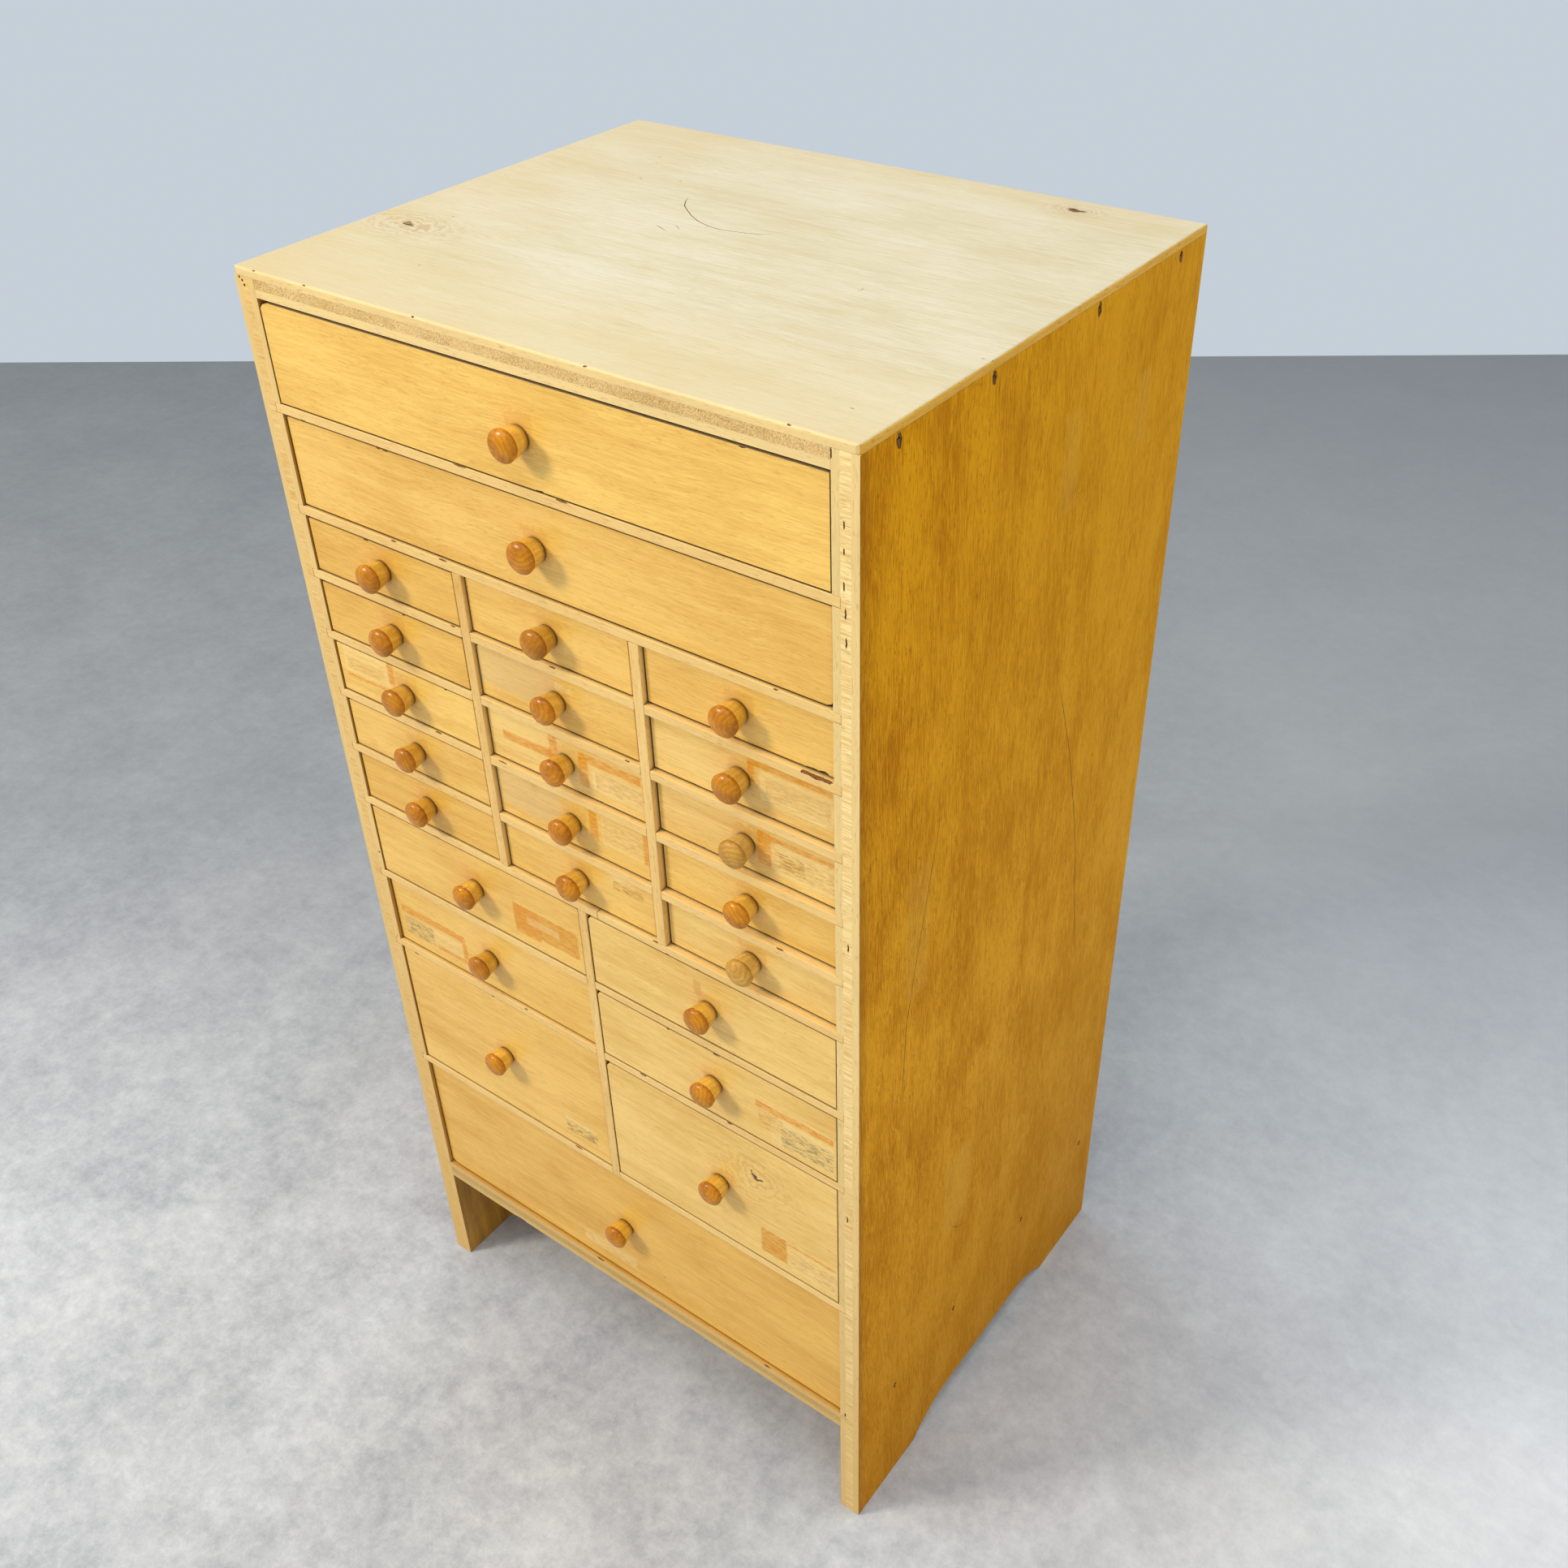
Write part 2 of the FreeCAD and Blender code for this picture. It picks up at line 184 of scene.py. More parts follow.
def sawn_wood():
    """Group that turns a place in millimetres, grain along X, into the marks of sawn veneer.

    Tone runs from light to dark: growth rings cut through lengthwise, in bands about 8 mm
    wide, fibre streaks, and slow blotches as wide as a hand. Vessels are the short dark
    pores of an open-grained wood. Real fibres and pores are 0.2 to 0.4 mm across. They are
    drawn 0.9 and 0.7 mm across, two to four times as coarse, so that they show.
    """
    name = "Sawn veneer"
    if name in bpy.data.node_groups:
        return bpy.data.node_groups[name]
    group, inputs, outputs = new_group(
        name, [("Place", "Vector"), ("Rings", "Float"), ("Fibre", "Float"), ("Blotch", "Float")],
        ["Tone", "Vessels", "Relief"])

    def streaks(place, along, across, detail, rough=0.5):
        shrink = (1 / along, 1 / across, 1 / across)
        return add(group, "TexNoise", out="Fac", named={
            "Vector": add(group, "VectorMath", place, shrink, operation="MULTIPLY"),
            "Scale": 1.0, "Detail": detail, "Roughness": rough})

    def spread(value, amount):
        centred = add(group, "MapRange", value, 0.3, 0.7, -0.5, 0.5)
        return add(group, "Math", centred, amount, operation="MULTIPLY")

    # The grain wanders up to 9 mm off its line
    drift = add(group, "MapRange", streaks(inputs["Place"], 170, 40, 2), 0.0, 1.0, -9.0, 9.0)
    drift = add(group, "CombineXYZ", 0.0, drift, drift)
    waved = add(group, "VectorMath", inputs["Place"], drift, operation="ADD")
    fibre = streaks(waved, 20, 0.9, 4, 0.68)
    rings = spread(streaks(waved, 380, 8.0, 3, 0.55), inputs["Rings"])
    blotch = spread(streaks(inputs["Place"], 85, 42, 3), inputs["Blotch"])
    tone = add(group, "Math", rings, blotch, operation="ADD")
    tone = add(group, "Math", tone, spread(fibre, inputs["Fibre"]), operation="ADD")
    vessels = add(group, "MapRange", streaks(waved, 6, 0.7, 1), 0.62, 0.72, 0.0, 1.0)
    group.links.new(add(group, "Math", tone, 0.4, operation="ADD", use_clamp=True), outputs["Tone"])
    group.links.new(vessels, outputs["Vessels"])
    group.links.new(add(group, "Math", fibre, vessels, operation="SUBTRACT"), outputs["Relief"])
    return group


def worn_patch():
    """Group that gives a ragged box-shaped patch around a place, broken up by grit."""
    name = "Worn patch"
    if name in bpy.data.node_groups:
        return bpy.data.node_groups[name]
    group, inputs, outputs = new_group(
        name, [("Place", "Vector"), ("Middle", "Vector"), ("Half", "Vector"), ("Ragged", "Float"),
               ("Grit", "Float")], ["Patch"])
    place = inputs["Place"]
    shift = wander(group, place, 0.35, 4.0, 0.65, inputs["Ragged"])
    moved = add(group, "VectorMath", place, shift, operation="ADD")
    offset = add(group, "VectorMath", moved, inputs["Middle"], operation="SUBTRACT")
    offset = add(group, "VectorMath", offset, operation="ABSOLUTE")
    outside = add(group, "VectorMath", offset, inputs["Half"], operation="SUBTRACT")
    x, y, z = add(group, "SeparateXYZ", outside).node.outputs
    farthest = add(group, "Math", add(group, "Math", x, y, operation="MAXIMUM"), z, operation="MAXIMUM")
    inside = add(group, "MapRange", farthest, -0.9, 0.3, 1.0, 0.0)
    # Grit about a millimetre high, drawn out along X
    crumbs = add(group, "TexNoise", out="Fac", named={
        "Vector": add(group, "VectorMath", place, (0.2, 1.0, 1.0), operation="MULTIPLY"),
        "Scale": 0.8, "Detail": 3.0, "Roughness": 0.75})
    bare = add(group, "MapRange", crumbs, 0.43, 0.57, 0.0, 1.0)
    bare = add(group, "Math", bare, inputs["Grit"], operation="MULTIPLY")
    kept = add(group, "Math", 1.0, bare, operation="SUBTRACT")
    group.links.new(add(group, "Math", inside, kept, operation="MULTIPLY"), outputs["Patch"])
    return group


# Turns that bring the grain, which runs along an axis of the cabinet, onto X
TURN = {"X": (0, 0, 0), "Y": (0, 0, math.pi / 2), "Z": (0, math.pi / 2, 0)}


class Finish:
    """A wood finish: a shader whose colour is laid on in coats, one after another."""

    def __init__(self, name, light, dark, along="X", rings=0.5, fibre=0.35, blotch=0.45, vessels=0.35,
                 vessel_colour="8A5A1E", offset=(0, 0, 0), stretch=1.0):
        self.material = bpy.data.materials.new(name)
        self.material.use_nodes = True
        self.tree = tree = self.material.node_tree
        tree.nodes.clear()
        # Places in millimetres, shifted so that no two fronts share their figure
        self.place = add(tree, "Mapping", add(tree, "TexCoord", out="Object"), offset, None, (1 / MM,) * 3)
        turned_place = add(tree, "Mapping", self.place, None, TURN[along], (stretch,) * 3)
        grain = add(tree, "Group", node_tree=sawn_wood(), named={
            "Place": turned_place, "Rings": rings, "Fibre": fibre, "Blotch": blotch})
        self.tone, pores, self.relief = grain.node.outputs
        self.offset = Vector(offset)
        self.base = None
        self.coat(self.tone, dark, light)
        self.coat(add(tree, "Math", pores, vessels, operation="MULTIPLY"), vessel_colour)

    def coat(self, mask, over, under=None):
        """Lays a colour over what is there, as strongly as the mask says."""
        under = self.base if under is None else linear(under)
        self.base = add(self.tree, "Mix", out=2, data_type="RGBA", named={0: mask, 6: under, 7: linear(over)})

    def fade(self, axis, start, end, over, most=1.0):
        """Fades a colour in from one place to another along an axis, in millimetres."""
        value = add(self.tree, "SeparateXYZ", self.place, out=axis)
        shift = self.offset[axis]
        self.coat(add(self.tree, "MapRange", value, start + shift, end + shift, 0.0, most), over)

    def patch(self, low, high, over, strength, ragged, grit):
        """A ragged patch between two corners, in millimetres."""
        low, high = Vector(low) + self.offset, Vector(high) + self.offset
        mask = add(self.tree, "Group", node_tree=worn_patch(), named={
            "Place": self.place, "Middle": (low + high) / 2, "Half": (high - low) / 2,
            "Ragged": ragged, "Grit": grit})
        self.coat(add(self.tree, "Math", mask, strength, operation="MULTIPLY"), over)

    def knot(self, middle, across, rings_colour, heart_colour, size, stretch, strength=0.5):
        """A knot: rings around a dark heart, fading into the grain."""
        tree = self.tree
        away = add(tree, "VectorMath", self.place, tuple(Vector(middle) + self.offset), operation="SUBTRACT")
        away = add(tree, "VectorMath", away, stretch, operation="MULTIPLY")
        shift = wander(tree, self.place, 0.12, 3.0, 0.5, size * 0.9)
        far = add(tree, "VectorMath", away, shift, operation="ADD")
        far = add(tree, "VectorMath", far, operation="LENGTH", out="Value")
        swirl = add(tree, "Math", far, 2 * math.pi / (size * 0.28), operation="MULTIPLY")
        ring = add(tree, "MapRange", add(tree, "Math", swirl, operation="SINE"), -0.2, 1.0, 0.0, strength)
        near = add(tree, "MapRange", far, size * 0.3, size * 1.6, 1.0, 0.0)
        self.coat(add(tree, "Math", ring, near, operation="MULTIPLY"), rings_colour)
        self.coat(add(tree, "MapRange", far, across * 0.5, across * 0.8, 0.95, 0.0), heart_colour)

    def done(self, rough, coat=0.0, bump=0.25, rough_grain=0.12, metal=0.0, shine=0.4):
        """Closes the finish: how smooth it is, how deep its grain is and how much it shines."""
        tree = self.tree
        # Painted shade: every crack narrower than about 4 mm is darkened by ambient occlusion
        crevice_shade = add(tree, "AmbientOcclusion", out="AO", samples=6, named={"Distance": 3.5 * MM})
        self.coat(add(tree, "MapRange", crevice_shade, 0.56, 0.3, 0.0, 0.9), "2C1A0A")
        relief = add(tree, "Bump", named={"Height": self.relief, "Strength": bump, "Distance": 0.12 * MM})
        roughness = add(tree, "MapRange", self.tone, 0.0, 1.0, rough - rough_grain, rough + rough_grain)
        shader = add(tree, "BsdfPrincipled", named={
            "Base Color": self.base, "Roughness": roughness, "Normal": relief, "Metallic": metal,
            "Specular IOR Level": shine, "Coat Weight": coat, "Coat Roughness": 0.3})
        add(tree, "OutputMaterial", shader)
        return self.material


# Meshes


def clean_solids(node):
    """The frame's solids of one node, each as a bmesh with whole faces."""
    whole = bmesh.new()
    whole.from_mesh(frame["nodes"][node].data)
    bmesh.ops.remove_doubles(whole, verts=whole.verts, dist=0.002 * MM)
    parts = []
    left = set(whole.verts)
    while left:
        reached = {left.pop()}
        waiting = list(reached)
        while waiting:
            for edge in waiting.pop().link_edges:
                for vert in edge.verts:
                    if vert not in reached:
                        reached.add(vert)
                        waiting.append(vert)
        left -= reached
        part = bmesh.new()
        copies = {vert: part.verts.new(vert.co) for vert in whole.verts if vert in reached}
        for face in whole.faces:
            if face.verts[0] in reached:
                part.faces.new([copies[vert] for vert in face.verts])
        part.normal_update()
        bmesh.ops.dissolve_limit(part, angle_limit=math.radians(0.5), verts=part.verts, edges=part.edges)
        parts.append(part)
    whole.free()
    return sorted(parts, key=lambda part: tuple(round(value, 4) for corner in extent(part) for value in corner))


def extent(solid):
    """Lowest and highest corner of a bmesh."""
    return [Vector([pick(vert.co[axis] for vert in solid.verts) for axis in range(3)]) for pick in (min, max)]


def ease(solid, amount):
    """Rounds every arris sharper than 35 degrees."""
    sharp = [edge for edge in solid.edges if edge.is_manifold and edge.calc_face_angle() > math.radians(35)]
    bmesh.ops.bevel(solid, geom=sharp, offset=amount, offset_type="OFFSET", segments=2, profile=0.5,
                    affect="EDGES", clamp_overlap=True)


def cut(solid, point, normal, **choices):
    """Cuts the faces of a solid along a plane and gives what the cut made."""
    geometry = list(solid.verts) + list(solid.edges) + list(solid.faces)
    return bmesh.ops.bisect_plane(solid, geom=geometry, plane_co=point, plane_no=normal, **choices)["geom_cut"]


def clip(solid, point, normal):
    """Cuts a corner off along a plane and closes the cut."""
    made = cut(solid, point, normal, dist=1e-7, clear_outer=True)
    bmesh.ops.holes_fill(solid, edges=[item for item in made if isinstance(item, bmesh.types.BMEdge)], sides=0)


def layered(solid, low, high, axis):
    """Eases a thick board, cuts its faces along the joints of its layers and gives its core's two sides."""
    ease(solid, sizes().board_ease)
    core = low[axis] + sizes().ply, high[axis] - sizes().ply
    normal = Vector([float(index == axis) for index in range(3)])
    for place in core:
        cut(solid, normal * place, normal, dist=1e-6)
    return core


def make_object(name, solids, materials, smooth_under=None):
    """One object from several solids, with its materials in order."""
    mesh = bpy.data.meshes.new(name)
    whole = bmesh.new()
    for solid in solids:
        scratch = bpy.data.meshes.new("scratch")
        solid.to_mesh(scratch)
        whole.from_mesh(scratch)
        bpy.data.meshes.remove(scratch)
        solid.free()
    whole.to_mesh(mesh)
    whole.free()
    for material in materials:
        mesh.materials.append(material)
    piece = bpy.data.objects.new(name, mesh)
    bpy.context.scene.collection.objects.link(piece)
    if smooth_under:
        mesh.shade_smooth()
        mesh.set_sharp_from_angle(angle=math.radians(smooth_under))
    return piece


def blob(middle, radii, seed, dents=0.3):
    """A rough lump with these half sizes in millimetres, for cutting out a chip or a torn place."""
    solid = bmesh.new()
    bmesh.ops.create_icosphere(solid, subdivisions=2, radius=1.0)
    radii = [radius * MM for radius in radii]
    for vert in solid.verts:
        away = 1 + dents * noise.noise(vert.co * 1.7 + Vector((seed * 7.3, seed * 3.1, seed)))
        vert.co = Vector(middle) + Vector([vert.co[axis] * away * radii[axis] for axis in range(3)])
    return solid


def groove(points, up, width, depth):
    """A fine groove through these places, pointed at both ends, for cutting a scratch."""
    solid = bmesh.new()
    up = Vector(up)
    points = [Vector(point) for point in points]
    rings = []
    for index, point in enumerate(points[1:-1], 1):
        along = (points[index + 1] - points[index - 1]).normalized()
        across = along.cross(up) * width / 2
        rings.append([solid.verts.new(point + step) for step in (across, up * depth, -across, -up * depth)])
    ends = [solid.verts.new(points[0]), solid.verts.new(points[-1])]
    for near, far in zip(rings, rings[1:]):
        for i in range(4):
            solid.faces.new((near[i], near[(i + 1) % 4], far[(i + 1) % 4], far[i]))
    for i in range(4):
        solid.faces.new((ends[0], rings[0][(i + 1) % 4], rings[0][i]))
        solid.faces.new((ends[1], rings[-1][i], rings[-1][(i + 1) % 4]))
    bmesh.ops.recalc_face_normals(solid, faces=solid.faces)
    return solid


def chipped(rough, count, low, high, inset, widths, deep, tall):
    """Small chips at random places along the lower and the upper front edge between two corners."""
    chips = []
    for number in range(count):
        x = rough.uniform(low.x + inset, high.x - inset)
        z = rough.choice((low.z, high.z))
        chips.append(blob((x, low.y, z), (rough.uniform(*widths), deep, tall), number + x, 0.5))
    return chips


def finish(solid, rule):
    """Gives each face the finish that the rule picks from its middle and its normal."""
    for face in solid.faces:
        face.material_index = rule(face.calc_center_median(), face.normal)


def carve(solid, cutters, materials):
    """Cuts rough shapes out of a solid; the fresh cut gets the last of its finishes."""
    for cutter in cutters:
        finish(cutter, lambda at, normal: len(materials) - 1)
    whole, tool = make_object("whole", [solid], materials), make_object("tool", cutters, materials)
    step = whole.modifiers.new("carve", "BOOLEAN")
    step.operation = "DIFFERENCE"
    step.solver = "EXACT"
    step.use_self = True
    step.object = tool
    bpy.context.view_layer.update()
    carved = bmesh.new()
    carved.from_object(whole, bpy.context.evaluated_depsgraph_get())
    for spare in (whole, tool):
        mesh = spare.data
        bpy.data.objects.remove(spare)
        bpy.data.meshes.remove(mesh)
    return carved


def dress(node, solids, materials):
    """Makes the piece that stands for a node, on the node's body."""
    piece = make_object("dressed_" + node, solids, materials)
    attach(piece, BODY_OF[node])
    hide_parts(node)


# The boards of the cabinet

EDGE_WOODS = (
    "Sanded long-grain edge, upright", "Sanded long-grain edge, level", "Core end grain, upright board",
    "Core end grain, level board", "Amber-varnished edge", "Torn fibres")


def edge_woods():
    """Edges of the three-layer board and the torn wood in its chips, made once and shared."""
    if EDGE_WOODS[0] in bpy.data.materials:
        return [bpy.data.materials[name] for name in EDGE_WOODS]
    c = colours()
    # Long grain of the outer layers at an edge: pale, because sanding cut through the varnish
    upright = Finish(EDGE_WOODS[0], c.edge, "DDBE7C", "Z", 0.5, 0.7, 0.5, 0.4, "A87B38")
    upright.fade(2, 520, 60, "CFA257", 0.55)
    upright.fade(0, 100, -100, "D3A658", 0.35)
    level = Finish(EDGE_WOODS[1], c.edge, "DDBE82", "X", 0.5, 0.7, 0.5, 0.4, "A87B38")
    level.fade(2, 520, 100, "BF974C", 0.6)
    # End grain of the core: sandy, with short light and dark bars where fibres were cut across
    ladder = Finish(EDGE_WOODS[2], c.core, "DDB062", "X", 0.2, 1.3, 0.4, 0.35, "9A6A28", stretch=0.8)
    ladder.fade(2, 520, 60, "C79A50", 0.4)
    ladder.fade(0, 100, -100, "CF9E4C", 0.5)
    specks = Finish(EDGE_WOODS[3], "E9C788", "BB924C", "Y", 0.2, 1.5, 0.5, 0.9, "7A5018", stretch=1.1)
    specks.fade(2, 520, 100, "B58A42", 0.6)
    # Edge along the sides of the top: it took the same amber varnish as the side under it
    amber = Finish(EDGE_WOODS[4], "F4BC4C", "DB9C2C", "Y", 0.5, 0.8, 0.5, 0.5)
    # Torn fibres in a chip or a filled brad hole, with old dust in them
    torn = Finish(EDGE_WOODS[5], "8A5A1C", "402608", "Z", 0.5, 1.0, 0.8, 0.5)
    return [upright.done(0.6, shine=0.3), level.done(0.6, shine=0.3), ladder.done(0.7, bump=0.7, shine=0.3),
            specks.done(0.7, bump=0.7, shine=0.3), amber.done(0.5, shine=0.2), torn.done(0.8)]


def from_corner(x, y):
    """A place on the front in metres, from millimetres right of and below the top left corner."""
    return Vector((LEFT_X + x * MM, FRONT_Y, TOP_Z - y * MM))


def on_top(x, depth):
    """A place on the top in metres, from millimetres right of the left and before the back edge."""
    return LEFT_X + x * MM, REAR_Y - depth * MM, TOP_Z


# Paler upright smears on the sides: millimetres from the front edge and below the top, and half sizes
SIDE_SMEARS = ((205, 90, 10, 30), (290, 90, 8, 24), (122, 620, 16, 40), (60, 330, 12, 50))

# Sunk places over the brads: millimetres from the front edge and above the floor
SUNK_BRADS = ((31, 866), (115, 866), (223, 866), (320, 866), (47, 111), (128, 111), (231, 111), (328, 111))

# Scratches on the right side, as (millimetres from the front edge, millimetres below the top)
SIDE_SCRATCHES = (
    ((83, 245), (74, 286), (66, 322), (57, 362), (50, 398), (48, 440), (47, 472)),
    ((210, 230), (224, 266), (238, 306), (247, 340), (256, 376), (262, 407), (268, 450), (274, 484), (280, 518)),
    ((118, 655), (123, 662), (130, 668), (136, 671)),
)

# Dents in the front edges of the left and the right side: place from the corner, half sizes and seed
LEFT_DENTS = [((x, y), (0.8, 1.5, 0.9), x) for x, y in ((4.2, 6.0), (6.2, 7.6), (7.4, 10.2), (14.0, 421))]
LEFT_DENTS += [((12.6, y), (0.5, 1.2, 3.2), y) for y in (439, 505, 629)]
RIGHT_DENTS = (((418, 150), (0.7, 1.5, 1.5), 5), ((418.3, 753), (0.6, 2, 2.6), 6))

# Cracks in the core of the right side and the open joint at the shoulder of the top: places and width
CRACKS = [([(x + 0.2 * math.sin(step * 2), y + step) for step in (-3.5, -1.5, 0.5, 2, 3.5)], 0.9)
          for x, y in ((421.8, 88), (422.2, 104), (422.6, 300), (421.2, 533))]
CRACKS += [([(x, y + tall * step) for step in (-1, -0.5, 0.1, 0.6, 1)], 0.8)
           for x, y, tall in ((421.2, 41.4, 2.5), (421.1, 55.1, 2.0), (421.0, 73.5, 3.0), (414.3, 7.6, 3.2))]


class CABINET_OT_side_panels(bpy.types.Operator):
    """Build the two side panels with their layered edges"""

    bl_idname = "cabinet.side_panels"
    bl_label = "Side panels"

    def execute(self, context):
        c = colours()
        upright, _, ladder, _, amber, torn = edge_woods()
        front, up = FRONT_Y / MM, TOP_Z / MM
        # Amber varnish, brushed on thick: deep gold, with the short dark fibres of sliced veneer
        outer = Finish("Okoume veneer, amber varnish", c.side, c.side_dark, "Z", 0.35, 1.6, 0.8, 0.65, "864600",
                       stretch=1.25)
        outer.fade(1, front + 40, front + 352, "E0A01C", 0.35)
        # Painted shade: darker towards the bottom of the side
        outer.fade(2, 420, 0, "A86800", 0.42)
        outer.fade(1, front + 9, front, "8A5608", 0.5)
        for depth, below, deep, tall in SIDE_SMEARS:
            outer.patch((-THROUGH, front + depth - deep, up - below - tall),
                        (THROUGH, front + depth + deep, up - below + tall), "DDA53C", 0.35, 14, 0.6)
        outer = outer.done(0.55, bump=0.35, shine=0.06)
        # The same varnish runs on over the inside of the feet
        foot = Finish("Okoume veneer, amber varnish, feet", "C48C1C", "90600A", "Z", 0.7, 0.7, 0.6, 0.6)
        foot = foot.done(0.38, 0.2)
        # One thin coat inside the cabinet, where no light has bleached it
        inner = Finish("Okoume veneer, one thin coat", "CB9646", "B07C30", "Z", 0.5, 0.4).done(0.55)
        woods = [outer, inner, upright, ladder, amber, foot, torn]
        for side, node in ((-1, "side_panel_left"), (1, "side_panel_right")):
            solid = clean_solids(node)[0]
            low, high = extent(solid)
            core = layered(solid, low, high, 0)
            face_x = high.x if side > 0 else low.x

            def rule(middle, normal):
                in_core = core[0] < middle.x < core[1]
                if normal.y < -0.3 and middle.y < FRONT_Y + NEAR:
                    return 3 if in_core else 2
                if abs(middle.x - face_x) < NEAR:
                    return 0
                if abs(normal.x) > 0.5:
                    return 5 if middle.z < FOOT_Z - MM else 1
                return 3 if in_core else 4

            finish(solid, rule)
            cutters = []
            for index, (depth, height) in enumerate(SUNK_BRADS):
                radii = (0.9, 2.2, 3.9) if height > 500 else (0.5, 1.0, 3.6)
                place = (face_x, FRONT_Y + depth * MM, (height - 0.5) * MM)
                cutters.append(blob(place, radii, index + 20 * side, 0.6))
            for points, width in CRACKS if side > 0 else ():
                cutters.append(groove([from_corner(*point) for point in points], (0, 1, 0), width * MM, 2 * MM))
            for place, radii, seed in RIGHT_DENTS if side > 0 else LEFT_DENTS:
                cutters.append(blob(from_corner(*place), radii, seed))
            for points in SIDE_SCRATCHES if side > 0 else ():
                places = [(face_x, FRONT_Y + depth * MM, TOP_Z - below * MM) for depth, below in points]
                cutters.append(groove(places, (1, 0, 0), 0.55 * MM, 0.25 * MM))
            dress(node, [carve(solid, cutters, woods)], woods)
        return {"FINISHED"}


# Scratches on the top, as (millimetres from the left, millimetres from the back)
TOP_SCRATCHES = (
    ((143, 119), (147, 127), (152, 134), (158, 139), (167, 146), (177, 152), (188, 156), (197, 157), (211, 155),
     (223, 152), (230, 147)),
    ((159, 170), (164, 172), (168, 174), (175, 177)),
    ((170, 165), (174, 167), (178, 170)),
    ((322, 191), (323, 194), (322, 197)),
    ((90, 103), (93, 106), (96, 107)),
)

# Dark specks on the top, from the same edges
TOP_SPECKS = ((46, 224), (73, 63), (80, 75), (118, 97), (92, 295), (405, 322), (425, 240))


class CABINET_OT_top_panel(bpy.types.Operator):
    """Build the top panel with its layered front edge"""

    bl_idname = "cabinet.top_panel"
    bl_label = "Top panel"

    def execute(self, context):
        c = colours()
        _, level, _, specks, amber, torn = edge_woods()
        front, rear, left, up = (value / MM for value in (FRONT_Y, REAR_Y, LEFT_X, TOP_Z))
        # The varnish of the top has bleached almost white; the grain shows as fine lines
        upper = Finish("Okoume veneer, bleached varnish", c.top, c.top_dark, "X", 0.4, 0.9, 0.6, 0.2, "B5945C")
        upper.fade(1, front + 95, front + 10, "D6BD83", 0.5)
        upper.fade(0, left + 130, left, "D2B67A", 0.35)
        upper.fade(1, rear - 60, rear, "D2B67A", 0.25)
        upper.knot((left + 355, rear - 19, up), 3.6, "A98250", "5A3A16", 9, (0.55, 1, 1))
        upper.knot((left + 35, rear - 248, up), 4.2, "B8935A", "94703C", 17, (0.5, 1, 1), 0.6)
        for x, depth in TOP_SPECKS:
            upper.patch((left + x - 0.9, rear - depth - 0.6, up - 9),
                        (left + x + 0.9, rear - depth + 0.6, up + 9), "6E5024", 0.9, 1.2, 0)
        upper = upper.done(0.5, shine=0.3)
        # Never varnished, so it stayed dull
        under = Finish("Okoume veneer, bare underside", c.raw, "C9A66B", "X").done(0.7)
        solid = clean_solids("top_panel")[0]
        low, high = extent(solid)
        # The front corners are worn round
        for side, x in ((-1, low.x), (1, high.x)):
            for lean in (0.5, 1.0, 2.0):
                away = Vector((side * lean, -1, 0)).normalized()
                clip(solid, Vector((x, low.y, 0)) - away * 1.1 * MM, away)
        core = layered(solid, low, high, 2)

        def rule(middle, normal):
            if normal.z > 0.75 and middle.z > high.z - NEAR:
                return 0
            if normal.z < -0.6:
                return 1
            if abs(normal.x) > 0.5:
                return 4
            return 3 if core[0] < middle.z < core[1] else 2

        finish(solid, rule)
        cutters = []
        for number, points in enumerate(TOP_SCRATCHES):
            width = 0.6 if number == 0 else 0.45
            cutters.append(groove([on_top(*point) for point in points], (0, 0, 1), width * MM, 0.2 * MM))
        # The hollows of the two knots, then the chips along the front edge
        cutters.append(blob(on_top(355, 19), (3.4, 1.3, 0.7), 3, 0.5))
        cutters.append(blob(on_top(33, 249), (5.0, 0.9, 0.4), 4, 0.6))
        for x, seed in ((18, 1), (61, 2), (147, 3), (268, 4), (391, 5)):
            cutters.append(blob((LEFT_X + x * MM, FRONT_Y + 0.3 * MM, TOP_Z), (1.6, 0.7, 0.8), seed, 0.5))
        # The right edge is splintered all along
        rough = random.Random(3)
        for step in range(13):
            place = (high.x, FRONT_Y + (10 + 27 * step + rough.uniform(-9, 9)) * MM, high.z)
            cutters.append(blob(place, (0.55, rough.uniform(2, 11), 0.5), step, 0.9))
        woods = [upper, under, level, specks, amber, torn]
        dress("top_panel", [carve(solid, cutters, woods)], woods)
        return {"FINISHED"}


class CABINET_OT_bottom_board(bpy.types.Operator):
    """Build the bottom board with its layered front edge"""

    bl_idname = "cabinet.bottom_board"
    bl_label = "Bottom board"

    def execute(self, context):
        _, level, _, specks, _, torn = edge_woods()
        # One thin coat of varnish on both faces
        face = Finish("Okoume veneer, thin coat, level", "D6A04C", "B98230", "X", 0.5, 0.4).done(0.5)
        woods = [face, level, specks, torn]
        solid = clean_solids("bottom_board")[0]
        low, high = extent(solid)
        core = layered(solid, low, high, 2)
        finish(solid, lambda at, normal: 0 if abs(normal.z) > 0.7 else 2 if core[0] < at.z < core[1] else 1)
        cutters = [blob((x * MM, FRONT_Y, z * MM), (wide, 0.7, 0.9), x, 0.5)
                   for x, z, wide in ((-120, 104, 6), (-31, 120, 4), (64, 104, 9), (133, 120, 3))]
        dress("bottom_board", [carve(solid, cutters, woods)], woods)
        return {"FINISHED"}


